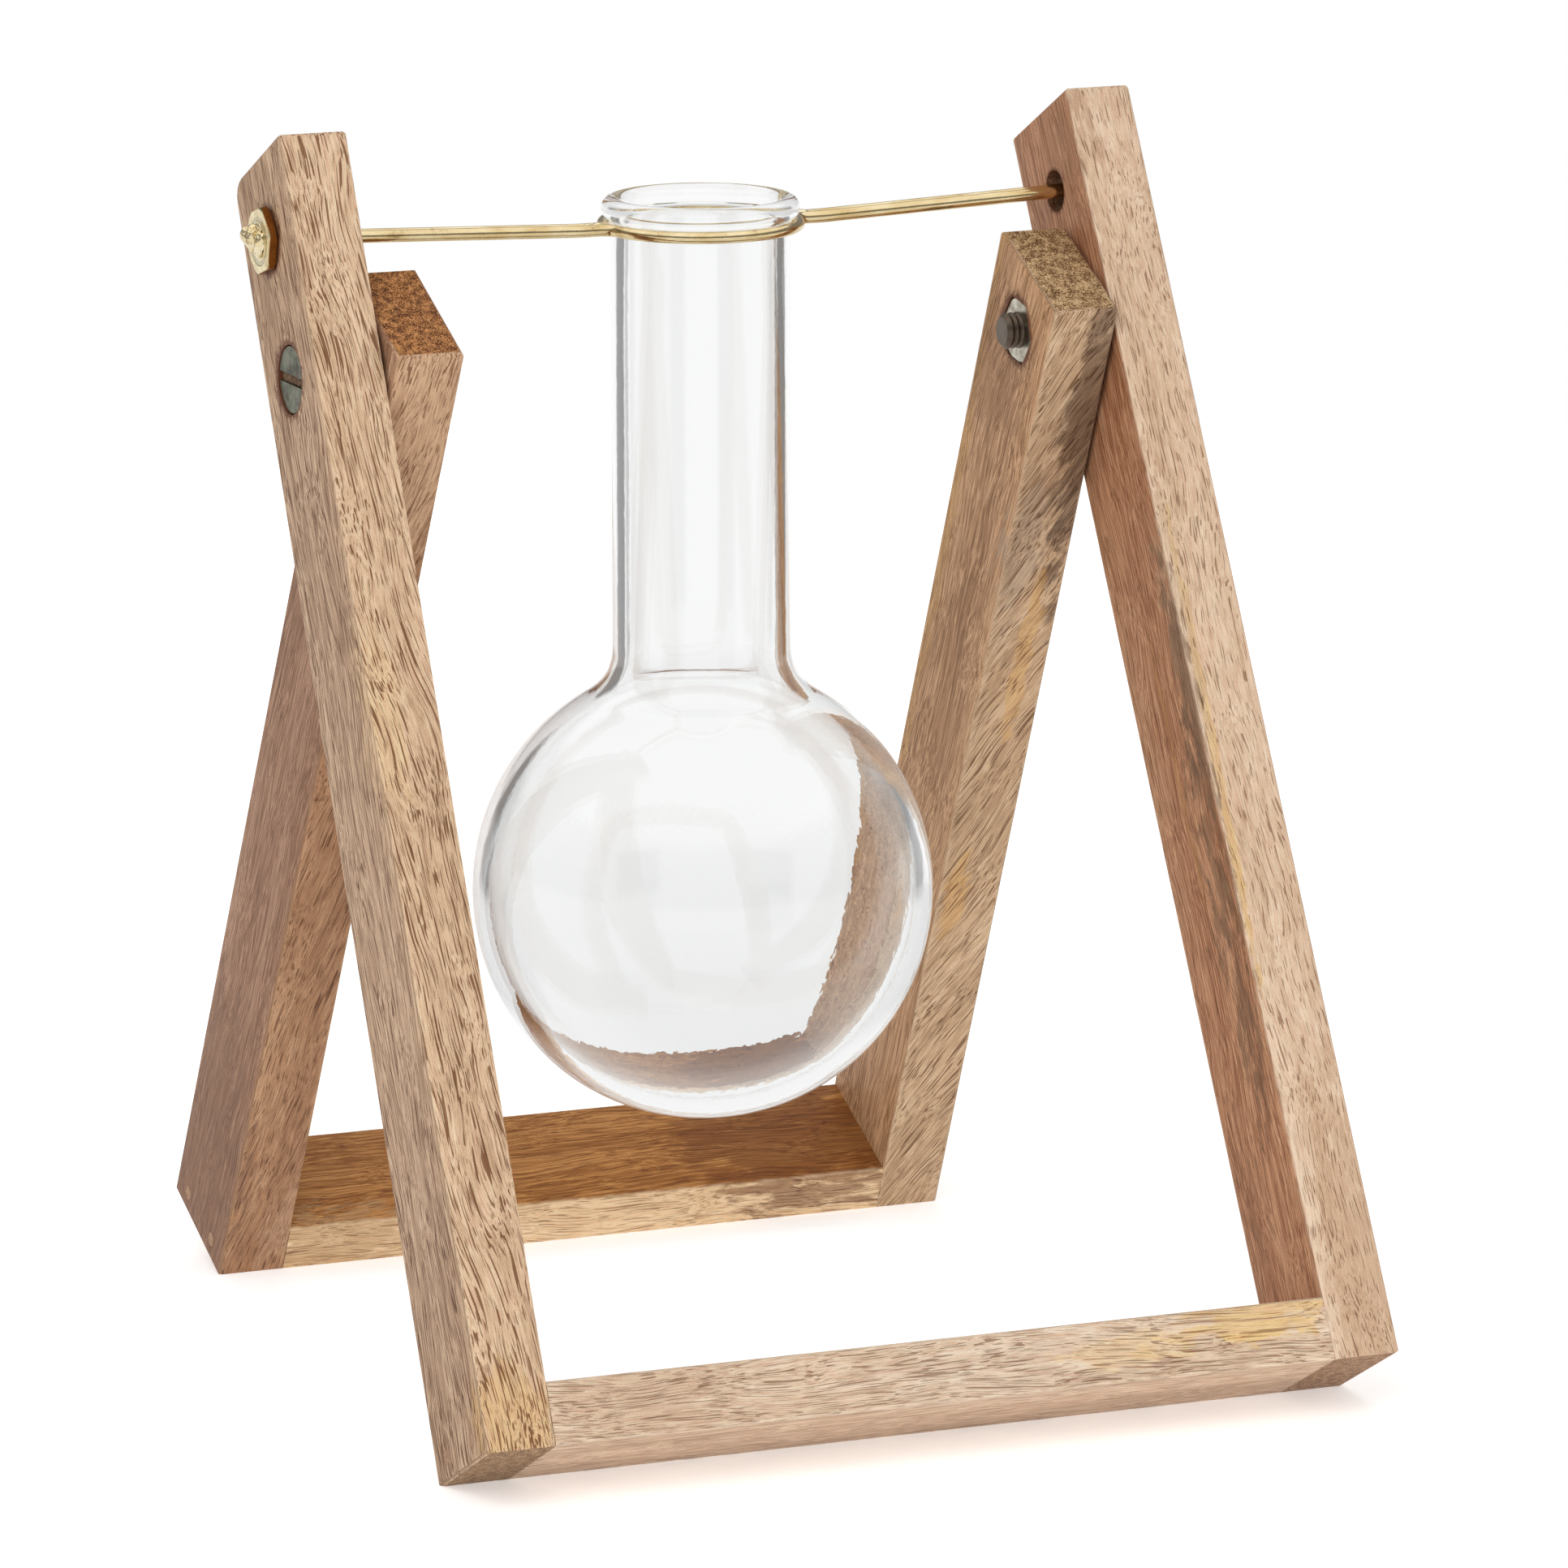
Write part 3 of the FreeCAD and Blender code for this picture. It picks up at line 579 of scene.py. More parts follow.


# Places in a look are in the bar's own millimetres: across X, through the depth, up from the pivot.
# Faces look to the front and back on a leg or rail, sides are a leg's left and right and a rail's top and
# underside. The side tones are the wood's colour with painted shade and painted bounce light mixed in:
# darker and warmer where shade falls on the inner sides and the back rail's top, and on the front rail,
# painted light bounced up from the floor onto its underside.

looks = {
    "front_left_leg": {
        "face": [(185, 151, 119), (211, 179, 146), (229, 200, 168)],
        "side": [(156, 122, 95), (187, 154, 125), (206, 176, 146)],
        "end": [(110, 76, 48), (160, 124, 90), (196, 162, 124)],
        "strokes": (4, 0.085, 0.6, 0.635), "strength": (1, 0.95), "lines": (0.25, 0.7), "fine": 0.6,
        "tilt": (1, 5), "seed": (3, 11, 0),
        "patches": [
            ((-73, -12, -173), (7, 5, 8), (216, 176, 122), 0.65),
            ((-74, -12, -60), (3.2, 6, 16), (222, 190, 148), 0.6),
            ((-72, -12, -110), (2.4, 6, 13), (190, 158, 128), 0.5),
            ((-75, 2, 20), (4, 12, 22), (168, 132, 100), 0.4),
        ],
        "rings": [(0.4, 0.2, 5.7, 1.5, 0.95), (0, 23.5, 5.2, 1.2, 0.85)],
    },
    "front_right_leg": {
        "face": [(196, 162, 131), (216, 186, 157), (230, 204, 178)],
        "side": [(150, 98, 66), (178, 127, 93), (200, 152, 116)],
        "end": [(120, 84, 58), (170, 130, 98), (204, 168, 134)],
        "strokes": (4.2, 0.26, 0.65, 0.69), "strength": (0.75, 0.55), "lines": (0.25, 0.6), "fine": 0.3,
        "tilt": (0, 3), "seed": (31, 5, 40),
        "patches": [
            ((66.2, -12, -78), (0.9, 6, 38), (214, 174, 114), 0.75),
            ((65.2, -12, -58), (1.6, 6, 24), (198, 172, 142), 0.5),
            ((74, -12, -160), (5, 8, 30), (192, 156, 124), 0.7),
            ((63.5, 6, -150), (3, 8, 26), (138, 96, 66), 0.5),
            ((63.5, -10, -66), (2.5, 4.6, 22), (116, 86, 64), 0.85),
            ((63.5, -6.5, -112), (2.5, 8.5, 42), (116, 86, 64), 0.85),
            ((63.5, 0.5, -84), (2.5, 0.9, 32), (186, 136, 86), 0.6),
            ((63, -6, 30), (6, 8, 12), (164, 122, 92), 0.5),
        ],
        "rings": [(0, 0, 5.7, 1, 0.9), (0, 23.5, 3.5, 0.7, 0.8)],
    },
    "back_left_leg": {
        "face": [(146, 104, 74), (166, 124, 92), (188, 149, 115)],
        "side": [(132, 94, 70), (155, 116, 90), (174, 136, 110)],
        "end": [(50, 14, 0), (134, 76, 28), (222, 160, 100)],
        "strokes": (4.4, 0.18, 0.64, 0.68), "strength": (0.8, 0.35), "lines": (0.25, 0.7), "fine": 0.5,
        "tilt": (-2, -12), "seed": (50, 23, 9),
        "patches": [
            ((-56, -12, -4), (8, 6, 30), (212, 176, 142), 0.85),
            ((-52, -12, -168), (7, 8, 9), (186, 150, 122), 0.5),
            ((-66, 4, -160), (6, 16, 34), (134, 98, 76), 0.85),
        ],
        "rings": [(0, 0, 5.5, 1.2, 0.85)],
    },
    "back_right_leg": {
        "face": [(160, 126, 96), (194, 162, 128), (214, 186, 154)],
        "side": [(156, 113, 77), (190, 147, 108), (213, 170, 131)],
        "end": [(66, 32, 8), (154, 114, 70), (228, 196, 150)],
        "strokes": (4.4, 0.085, 0.61, 0.65), "strength": (0.85, 0.5), "lines": (0.4, 0.7), "fine": 0.3,
        "tilt": (-3, -26), "seed": (71, 17, 77),
        "patches": [
            ((62.5, -12, -12), (5, 8, 32), (90, 64, 48), 0.8),
            ((51.6, 11, -60), (3, 2.4, 90), (196, 152, 98), 0.8),
            ((59.3, -12, -58), (1.8, 7, 15), (208, 162, 100), 0.6),
            ((56.5, -12, -108), (2.2, 7, 8), (206, 158, 94), 0.6),
            ((55, -12, -36), (3, 7, 14), (178, 156, 134), 0.6),
            ((52, 6, -10), (4, 14, 14), (136, 96, 66), 0.6),
        ],
        "rings": [(0, 0, 5.5, 1.5, 0.9)],
    },
    "front_rail": {
        "face": [(196, 166, 138), (219, 193, 166), (238, 218, 194)],
        "side": [(194, 164, 136), (214, 185, 158), (230, 202, 176)],
        "end": [(120, 84, 58), (170, 130, 98), (204, 168, 134)],
        "strokes": (5, 0.085, 0.62, 0.665), "strength": (0.75, 0.5), "lines": (0.3, 0.8), "fine": 0.5,
        "tilt": (0, 2), "seed": (15, 60, 13),
        "patches": [
            ((54, -12, -171), (12, 8, 3.4), (226, 186, 116), 0.75),
            ((32, -12, -173.5), (14, 8, 2.6), (228, 192, 128), 0.7),
            ((-52, -12, -174), (16, 8, 6), (200, 168, 140), 0.6),
            ((14, -12, -174), (26, 8, 5), (226, 206, 184), 0.5),
        ],
    },
    "back_rail": {
        "face": [(204, 170, 130), (228, 196, 156), (240, 214, 178)],
        "side": [(150, 94, 42), (184, 126, 68), (206, 150, 88)],
        "end": [(92, 48, 20), (142, 93, 56), (182, 134, 92)],
        "strokes": (4.6, 0.11, 0.63, 0.67), "strength": (0.7, 0.5), "lines": (0.3, 0.6), "fine": 0.4,
        "tilt": (0, 0), "seed": (90, 33, 21),
        "patches": [
            # darker at the right end of the top: the wood's own tone with painted shade beside the back
            # right leg, under the flask
            ((42, 0, -168), (22, 20, 10), (120, 68, 30), 0.75),
            ((-46, -12, -172), (14, 6, 8), (186, 150, 108), 0.7),
        ],
    },
}

grains = {
    # how often along X, Y and the bar per millimetre, detail, roughness, shift
    "drift": ((0.06, 0.06, 0.022), 2, 0.5),
    "broad": ((0.15, 0.15, 0.012), 2, 0.5),
    "lines": ((1.25, 1.25, 0.011), 4, 0.65),
    "clouds": ((0.8, 0.8, 0.22), 3, 0.6),
    "stripes": ((2.4, 2.4, 0.013), 4, 0.7, (4, 6, 1)),
    "ragged": ((0.5, 0.5, 0.16), 3, 0.6),
    "fibre": ((6, 6, 0.11), 2, 0.6),
    "sanding": ((9, 9, 6), 0),
    "groups": ((0.2, 0.2, 0.05), 2, 0.5, (5, 9, 2)),
    "fine": ((7, 7, 0.3), 0, 0.5, (8, 1, 3)),
    "threads": ((3.4, 3.4, 0.1), 1, 0.5, (1, 3, 6)),
    "speckle": ((5, 5, 5), 2, 0.9),
    "mottle": ((0.7, 0.7, 0.7), 2, 0.6),
    "crumbs": ((1.5, 1.5, 1.5), 4, 0.75),
}

timber = {
    "sideFade": (0.55, 0.9),  # how squarely a surface faces sideways
    "endFade": (0.9, 0.985),  # and along the bar
    "wander": (9, 9, 0),  # how far the grain drifts
    "wideStops": (0.36, 0.5, 0.64),  # where the dark, middle and pale tones lie
    "tightStops": (0.43, 0.5, 0.57),
    "stripeShares": (0.8, 0.2),  # stripes and broad bands in a side's figure
    "sideFigure": 0.8,  # how much of that figure a side has
    "ragged": 2.4,  # how torn the edge of a patch is
    "patchFade": (1.15, 0.75),
    "patchThin": 0.35,  # what a patch leaves of its tone between the lines
    "lineFade": (0.38, 0.62),
    "overlayStops": (0.34, 0.5, 0.66),
    "fibreDepth": (0.22, 0.14, 0.8),  # darker, paler, strength
    "sandingDepth": (0.09, 0.09, 0.7),
    "groupFade": (0.36, 0.62, 0.03, -0.01),  # fewer pores between the groups
    "fineFade": (0.66, 0.72),
    "threadFade": (0.55, 0.61),
    "strokeShift": (2, 4, 7),
    "poreColour": (0.34, 0.24, 0.18, 1),
    "speckleShares": (0.75, 0.25),
    "thickFade": (0.86, 0.97),  # how near to an edge it is painted paler: a painted highlight along with sanding wear
    "deepFade": (0.93, 0.985),
    "paleEdge": (0.35, 0.6, 0.1, 0.5),
    "stain": tone(96, 50, 24),  # oil and dust in the rims of the holes
    "stainRagged": 3,
    "nailRing": (1.1, 0.3, 0.25),
    "roughness": (0.66, 0.52),
    "specular": 0.22,
    "relief": (0.35, 0.8, 2.2),  # fibres, pores and end grain
    "bump": (0.00012, 0.8),  # metres, strength
}


def findGrain(wood, look):
    turn = (stand["lean"][wood.which], 0, 0)
    wood.local = wood.stretch(wood.spot, (mm, mm, mm), inMetres((0, *stand["pivot"])), turn, "TEXTURE")
    facing = wood.stretch(wood.facing, turn=turn, kind="TEXTURE")
    normal = wood.split(wood.vector("ABSOLUTE", facing))
    x, y, z = wood.place = wood.split(wood.local)
    grain, side, end = wood.local, normal[0], normal[2]
    if wood.isRail:  # a rail's grain runs across the stand
        grain = wood.add("CombineXYZ", {0: z, 1: y, 2: x}).outputs[0]
        side, end = end, side
    wood.sideShare = wood.between(side, *timber["sideFade"])
    wood.endShare = wood.between(end, *timber["endFade"])
    sideTilt, faceTilt = look["tilt"]
    onFace, onSide = (
        wood.stretch(grain, shift=look["seed"], turn=tilt) for tilt in ((0, faceTilt, 0), (sideTilt, 0, 0))
    )
    grain = wood.mix("VECTOR", wood.sideShare, onFace, onSide)
    drift = wood.vector("SUBTRACT", wood.noise(grain, *grains["drift"], colour=True), (0.5, 0.5, 0.5))
    wood.wavy = wood.vector("ADD", grain, wood.vector("MULTIPLY", drift, timber["wander"]))


def paintFigure(wood, look):
    broad, stripes, wood.lines, wood.clouds = (
        wood.noise(wood.wavy, *grains[name]) for name in ("broad", "stripes", "lines", "clouds")
    )
    lineShare = look["lines"][0]
    onFace = wood.plus(
        wood.times(wood.lines, lineShare),
        wood.times(wood.plus(broad, wood.clouds), (1 - lineShare) / 2),
    )
    stripeShare, broadShare = timber["stripeShares"]
    onSide = wood.plus(wood.times(stripes, stripeShare), wood.times(broad, broadShare))
    figure = wood.mix("FLOAT", wood.times(wood.sideShare, timber["sideFigure"]), onFace, onSide)
    return wood.blend(
        wood.sideShare,
        wood.ramp(figure, timber["wideStops"], tones(look["face"])),
        # the side tones carry painted shade and painted bounce light as well as the wood's colour
        wood.ramp(figure, timber["tightStops"], tones(look["side"])),
    )


def paintPatches(wood, look, colour):
    ragged = wood.times(wood.minus(wood.noise(wood.wavy, *grains["ragged"]), 0.5), timber["ragged"])
    inLines = wood.between(wood.lines, *timber["lineFade"])
    for centre, reach, patchColour, share in look["patches"]:
        away = wood.vector("DIVIDE", wood.vector("SUBTRACT", wood.local, centre), reach)
        away = wood.plus(wood.vector("LENGTH", away), ragged)
        patchColour = tone(*patchColour)
        tinted = wood.blend(inLines, wood.blend(timber["patchThin"], patchColour, colour), patchColour)
        colour = wood.blend(wood.between(away, *timber["patchFade"], 0.0, share), colour, tinted)
    return colour


def paintFibres(wood, look, colour):
    wood.fibre = wood.noise(wood.wavy, *grains["fibre"])
    sanding = wood.noise(wood.local, *grains["sanding"])
    for pattern, depth, share in (
        (wood.fibre, timber["fibreDepth"], look["lines"][1]), (sanding, timber["sandingDepth"], 1)
    ):
        darker, paler, strength = depth
        levels = (0.5 - darker * share, 0.5, 0.5 + paler * share)
        greys = [(level, level, level, 1) for level in levels]
        colour = wood.blend(strength, colour, wood.ramp(pattern, timber["overlayStops"], greys), "OVERLAY")
    return colour


def paintPores(wood, look, colour):  # short dark strokes along the grain, in loose groups
    acrossScale, alongScale, low, high = look["strokes"]
    gate = wood.between(wood.noise(wood.wavy, *grains["groups"]), *timber["groupFade"])
    scale = (acrossScale, acrossScale, alongScale)
    strokes = wood.noise(wood.wavy, scale, 0.0, shift=timber["strokeShift"])
    fine = wood.noise(wood.wavy, *grains["fine"])
    onFace = wood.maths(
        "MAXIMUM", wood.between(wood.minus(strokes, gate), low, high),
        wood.between(fine, *timber["fineFade"], 0.0, look["fine"]),
    )
    threads = wood.minus(wood.noise(wood.wavy, *grains["threads"]), gate)
    onSide = wood.between(threads, *timber["threadFade"])
    faceStrength, sideStrength = look["strength"]
    pores = wood.mix(
        "FLOAT", wood.sideShare, wood.times(onFace, faceStrength), wood.times(onSide, sideStrength)
    )
    wood.pores = wood.times(pores, wood.minus(1.0, wood.endShare))
    return wood.blend(wood.pores, colour, timber["poreColour"], "MULTIPLY")


def paintEnds(wood, look, colour):  # end grain is coarse and speckled
    speckle, mottle = (
        wood.times(wood.noise(wood.local, *grains[name]), share)
        for name, share in zip(("speckle", "mottle"), timber["speckleShares"])
    )
    wood.speckle = wood.plus(speckle, mottle)
    ends = wood.ramp(wood.speckle, timber["tightStops"], tones(look["end"]))
    return wood.blend(wood.endShare, colour, ends)


def paintEdges(wood, look, colour):  # edges are painted a little paler: a painted highlight on the rounded edges along with sanding wear
    x, y, z = wood.place
    if wood.isRail:
        thickness = bars[wood.which + "Rail"]
        offset = wood.minus(z, bars[wood.which + "Foot"] + thickness / 2)
    else:
        thickness = bars["width"]
        offset = wood.plus(wood.maths("ABSOLUTE", x), wood.times(z, stand["toeIn"]))
        offset = wood.minus(offset, bars[wood.which + "Half"] - thickness / 2)
    edge = wood.between(wood.clouds, *timber["paleEdge"])
    for distance, size, fade in (
        (offset, thickness, timber["thickFade"]), (y, bars["depth"], timber["deepFade"])
    ):
        share = wood.maths("DIVIDE", wood.maths("ABSOLUTE", distance), size / 2)
        edge = wood.times(edge, wood.between(share, *fade))
    return wood.blend(edge, colour, tone(*look["face"][2]))


def paintStains(wood, look, colour):
    rings = list(look.get("rings", ()))
    if not wood.isRail:
        nailZ = bars[wood.which + "Foot"] + bars["nailHeight"]
        rings += [(share * bars["nailSpacing"], nailZ, *timber["nailRing"]) for share in (-0.5, 0.5)]
    crumbs = wood.times(wood.minus(wood.noise(wood.local, *grains["crumbs"]), 0.5), timber["stainRagged"])
    sideways = wood.vector("MULTIPLY", wood.local, (0, 1, 1))
    for y, z, radius, spread, share in rings:
        away = wood.vector("LENGTH", wood.vector("SUBTRACT", sideways, (0, y, z)))
        away = wood.plus(away, wood.times(crumbs, spread))
        stained = wood.between(away, radius, radius + spread, share, 0.0)
        colour = wood.blend(stained, colour, timber["stain"])
    return colour


def makeWood(name, which, isRail):
    look = looks[name]
    wood = Finish(name + "Wood")
    wood.which, wood.isRail = which, isRail
    findGrain(wood, look)
    colour = paintFigure(wood, look)
    for paint in paintPatches, paintFibres, paintPores, paintEnds, paintEdges, paintStains:
        colour = paint(wood, look, colour)
    wood.shade("Base Color", colour)
    wood.shade("Roughness", wood.between(wood.fibre, *usual, *timber["roughness"]))
    wood.shade("Specular IOR Level", timber["specular"])
    fibreDepth, poreDepth, endDepth = timber["relief"]
    relief = wood.minus(wood.times(wood.fibre, fibreDepth), wood.times(wood.pores, poreDepth))
    relief = wood.plus(relief, wood.times(wood.times(wood.endShare, wood.speckle), endDepth))
    wood.shade("Normal", wood.bump(relief, *timber["bump"]))
    return wood


def makeTimber():
    for which, lean in stand["lean"].items():
        body = which + "_frame"
        made = []
        for sideName, side in sides.items():
            bar = makeBar(f"{which}{sideName.title()}Leg", which, side)
            drillBar(bar, which, side)
            made.append((bar, f"{which}_{sideName}_leg"))
        made.append((makeRail(which + "Rail", which), which + "_rail"))
        for bar, node in made:
            putAt(bar, *stand["pivot"], lean)
            sandFoot(bar)
            smooth(bar)
            makeWood(node, which, node.endswith("rail")).giveTo(bar)
            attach(bar, body)
            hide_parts(node)


makeTimber()
print("bars made")


# glass flask

flask = {
    "rimZ": 185.7723,  # middle of the rolled rim
    "height": 153.3,
    "bulb": 38,
    "bulbWall": 2.6,
    "base": 2.8,
    "neck": 14.7,
    "bore": 12.5,
    "blend": 9,
    "rim": 16.3,
    "underRim": 0.3,  # where the neck's outside ends, below the rolled rim
    "segments": 160,
    "steps": {"bulb": 64, "blend": 10, "rim": 20, "side": 30, "foot": 32},
    "tint": (0.966, 0.972, 0.968, 1),
    "shadowTint": (0.96, 0.97, 0.965, 1),
    "index": 1.5,  # how strongly the glass bends light
    "turns": 1,  # light caught in the thick rim leaves it straight after so many turns
    "waves": ((38, 38, 22), 1, 0.4),
    "waveBump": (0.0006, 0.07),  # metres, strength
    "ripples": ((420, 420, 260), 2, 0.6),
    "rippleBump": (0.00004, 0.3),
}


def arcPoints(centre, radius, start, end, count):
    x, z = centre
    angles = [math.radians(start + (end - start) * step / count) for step in range(count + 1)]
    return [(x + radius * math.cos(angle), z + radius * math.sin(angle)) for angle in angles]


def flaskProfile():
    # (distance from the axis, height above the rim's middle), from the outside bottom to the inside bottom
    bulb, neck, bore, blend = flask["bulb"], flask["neck"], flask["bore"], flask["blend"]
    steps = flask["steps"]
    bead = (flask["rim"] - bore) / 2
    beadX = flask["rim"] - bead
    bulbZ = bead - flask["height"] + bulb
    blendX = neck + blend
    blendZ = bulbZ + math.sqrt((bulb + blend) ** 2 - blendX ** 2)
    joint = math.degrees(math.atan2(blendZ - bulbZ, blendX))
    points = arcPoints((0, bulbZ), bulb, -90, joint, steps["bulb"])
    points += arcPoints((blendX, blendZ), blend, 180 + joint, 180, steps["blend"])[1:]
    underBead = -math.sqrt(bead ** 2 - (neck - beadX) ** 2)
    rise = underBead - flask["underRim"] - blendZ
    points += [(neck, blendZ + rise * share) for share in (0.25, 0.5, 0.75, 1.0)]
    startAngle = math.degrees(math.atan2(underBead, neck - beadX))
    points += arcPoints((beadX, 0), bead, startAngle, 180, steps["rim"])

    hollow = bulb - flask["bulbWall"]
    depth = bulb - flask["base"]
    inside = blend + neck - bore
    insideX = bore + inside
    insideZ = bulbZ + math.sqrt((hollow + inside) ** 2 - insideX ** 2)
    points += [(bore, insideZ * share) for share in (0.25, 0.5, 0.75)]
    joint = math.degrees(math.atan2(insideZ - bulbZ, insideX))
    points += arcPoints((insideX, insideZ), inside, 180, 180 + joint, steps["blend"])
    points += arcPoints((0, bulbZ), hollow, joint, 0, steps["side"])[1:]
    foot = arcPoints((0, 0), 1, 0, 90, steps["foot"])[1:]
    points += [(hollow * x, bulbZ - depth * z) for x, z in foot]
    points[0] = (0, points[0][1])
    points[-1] = (0, points[-1][1])
    return points


def makeFlask():
    points = flaskProfile()
    dropAll()
    bpy.ops.mesh.primitive_plane_add(size=mm)
    vase = named("glassFlask")
    editMode(vase, "VERT")
    bpy.ops.mesh.merge(type="CENTER")
    bpy.ops.transform.translate(value=(points[0][0] * mm, 0, points[0][1] * mm))
    for (x, z), (nextX, nextZ) in zip(points, points[1:]):
        drawOut(nextX - x, nextZ - z)
    bpy.ops.mesh.select_all(action="SELECT")
    bpy.ops.mesh.spin(steps=flask["segments"], angle=2 * math.pi, axis=(0, 0, 1))
    leaveEdit()
    outwards(vase)
    putAt(vase, stand["holder"][0], flask["rimZ"])
    smooth(vase, 180)
    makeGlass().giveTo(vase)
    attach(vase, "flask")
    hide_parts("glass_flask")


def makeGlass():
    glass = Finish("clearGlass")
    glass.shade("Base Color", flask["tint"])
    glass.shade("Transmission Weight", 1.0)
    glass.shade("Roughness", 0.0)
    glass.shade("IOR", flask["index"])
    rays = glass.add("LightPath").outputs
    caught = glass.maths("GREATER_THAN", rays["Glossy Depth"], flask["turns"] + 0.5)
    glass.shade("IOR", glass.minus(flask["index"], glass.times(caught, flask["index"] - 1)))
    waves, ripples = (glass.noise(glass.spot, *flask[name]) for name in ("waves", "ripples"))
    drawn = glass.bump(ripples, *flask["rippleBump"])
    glass.shade("Normal", glass.bump(waves, *flask["waveBump"], drawn))
    clear = glass.add("BsdfTransparent", {"Color": flask["shadowTint"]}).outputs[0]
    seen = glass.mixShaders(rays["Is Shadow Ray"], glass.shader.outputs[0], clear)
    glass.put(glass.output.inputs["Surface"], seen)
    return glass


makeFlask()
print("flask made")


# metals

metals = {
    # two tones, rust or tarnish, roughness, and the tone of the inner end; a name ends in its kind
    "dullSteel": ((66, 66, 50), (112, 114, 92), (92, 66, 46), 0.34, (104, 92, 80)),
    "nutSteel": ((140, 130, 112), (204, 198, 180), (92, 62, 42), 0.26),
    "nailSteel": ((150, 150, 150), (190, 190, 192), (120, 90, 70), 0.3),
    "nutBrass": ((212, 190, 142), (234, 220, 178), (150, 114, 62), 0.2),
    "peenedBrass": ((230, 206, 152), (246, 236, 206), (140, 92, 36), 0.16),
    "drawnBrass": ((206, 178, 124), (232, 214, 172), (136, 98, 54), 0.1),
}

metalKinds = {
    # grains of clouds, spots, scratches and marks: how often per metre, detail, roughness, shift
    "Steel": {
        "grains": (
            ((420, 420, 420), 4, 0.65), ((900, 900, 900), 4, 0.7, (3, 1, 2)),
            ((3000, 900, 3000), 3), ((900, 900, 900), 4, 0.7, (3, 1, 2)),
        ),
        "scratchShare": 0.5,
        "stops": (0.36, 0.64),
        "spotFade": (0.54, 0.68, 0, 0.7),
        "rusts": True,  # rust isn't metallic
        "dulling": 0.12,
        "relief": (0.00005, 0.6),  # metres, strength
    },
    "Brass": {
        "grains": (
            ((150, 420, 420), 3, 0.6), ((240, 300, 300), 4, 0.7, (5, 2, 8)),
            ((2500, 2500, 2500), 2), ((90, 2600, 2600), 2),
        ),
        "scratchShare": 1,
        "stops": (0.32, 0.68),
        "spotFade": (0.56, 0.74, 0, 0.6),
        "rusts": False,
        "dulling": 0.08,
        "relief": (0.00002, 0.5),
    },
}

grits = {
    # dark and light tones, grain per metre
    "slotDust": ((58, 38, 26), (134, 104, 76), 2200),
    "filler": ((146, 110, 84), (184, 148, 120), 1500),
}

grit = {"grain": (4.0, 0.7), "stops": (0.35, 0.65), "roughness": (0.95, 0.8), "relief": (0.0001, 0.7)}

screws = {
    "headRadius": 5.5,
    "headFace": 74.85,
    "headEdge": 0.4,
    "headBreak": 0.15,  # the worn corner round the head
    "shank": 3,
    "threadRoot": 2.62,
    "pitch": 1,
    "threads": 9,
    "threadShares": (0, 0.4, 0.55, 0.9),  # a groove's crest, the two ends of its floor, its far crest
    "screwLength": 26,
    "tip": 0.7,
    "tipRadius": 2.32,
    "slotWidth": 1.6,
    "slotDepth": 1.6,
    "dustLevel": 0.45,  # dust in the slot, below the head's face
    "dustGap": (0.05, 0.7, 0.05),
    "dustCuts": 15,
    "dustLumps": (0.55, 0.5),
    "dustSeed": (0.3, 0.1),
    "nutFlats": 10,
    "nutTurn": 15.6,
    "nutFace": 51.7,
    "nutThickness": 5,
    "nutBore": 2.9,
    "nutCorner": 0.6,  # chamfer on the nut's corners
    "innerEnd": (56, 68),  # across the stand, where the screw's tone changes
}

holder = {
    "face": 74.89,
    "nutFlats": 10,
    "nutTurn": 12,
    "nutBore": 2.7,
    "nutThickness": 1.4,
    "nutCorner": 0.55,
    "turning": (14, 0.12),  # how close the lathe's rings lie, and their height
    "ring": (3.05, 3.3, 3.8, 4.05),  # a wide groove in the nut's face, and its two edges
    "ringShare": 0.55,
    "relief": (0.00008, 0.9),  # metres, strength
    "ringTone": tone(160, 150, 120),
    # painted shade on the nut's sides
    "facetShade": tone(150, 100, 48),
    "facets": (0.2, 0.04),  # below the nut's face
    "reach": 18.24,  # to the brazed bead
    "sag": 1.6,
    # lumps of braze: their places, outwards from the nut's face or the bead, and their sizes
    "endLumps": [
        ((-0.7, 0, 0), (0.75, 2.65, 2.65)),
        ((0.5, 1.2, 0.5), (1.5, 1.5, 2.2)),
        ((1.3, 1.6, 0.9), (1.3, 0.9, 1.4)),
        ((0.2, -1.1, -0.3), (0.9, 1.1, 2.2)),
        ((0.1, -2.1, 0.2), (0.6, 0.7, 1.5)),
        ((-0.1, 0.2, -2), (0.6, 1.7, 0.9)),
        ((-0.1, 0.2, 2.1), (0.5, 1.6, 0.8)),
    ],
    "endMelt": (0.35, 0.09, 1),  # depth of the dents, grid and smoothing
    "beadLumps": [
        ((-0.3, 0, 0.25), (1.3, 1.15, 0.95)),
        ((-1.5, 0, 0.1), (0.9, 1.3, 0.8)),
        ((1.6, 0, 0.25), (1.5, 0.7, 0.75)),
    ],
    "beadMelt": (0.22, 0.12, 3),
    "dents": ((1, 1.1), (0.4, 0.4)),  # share of the depth, and size
}


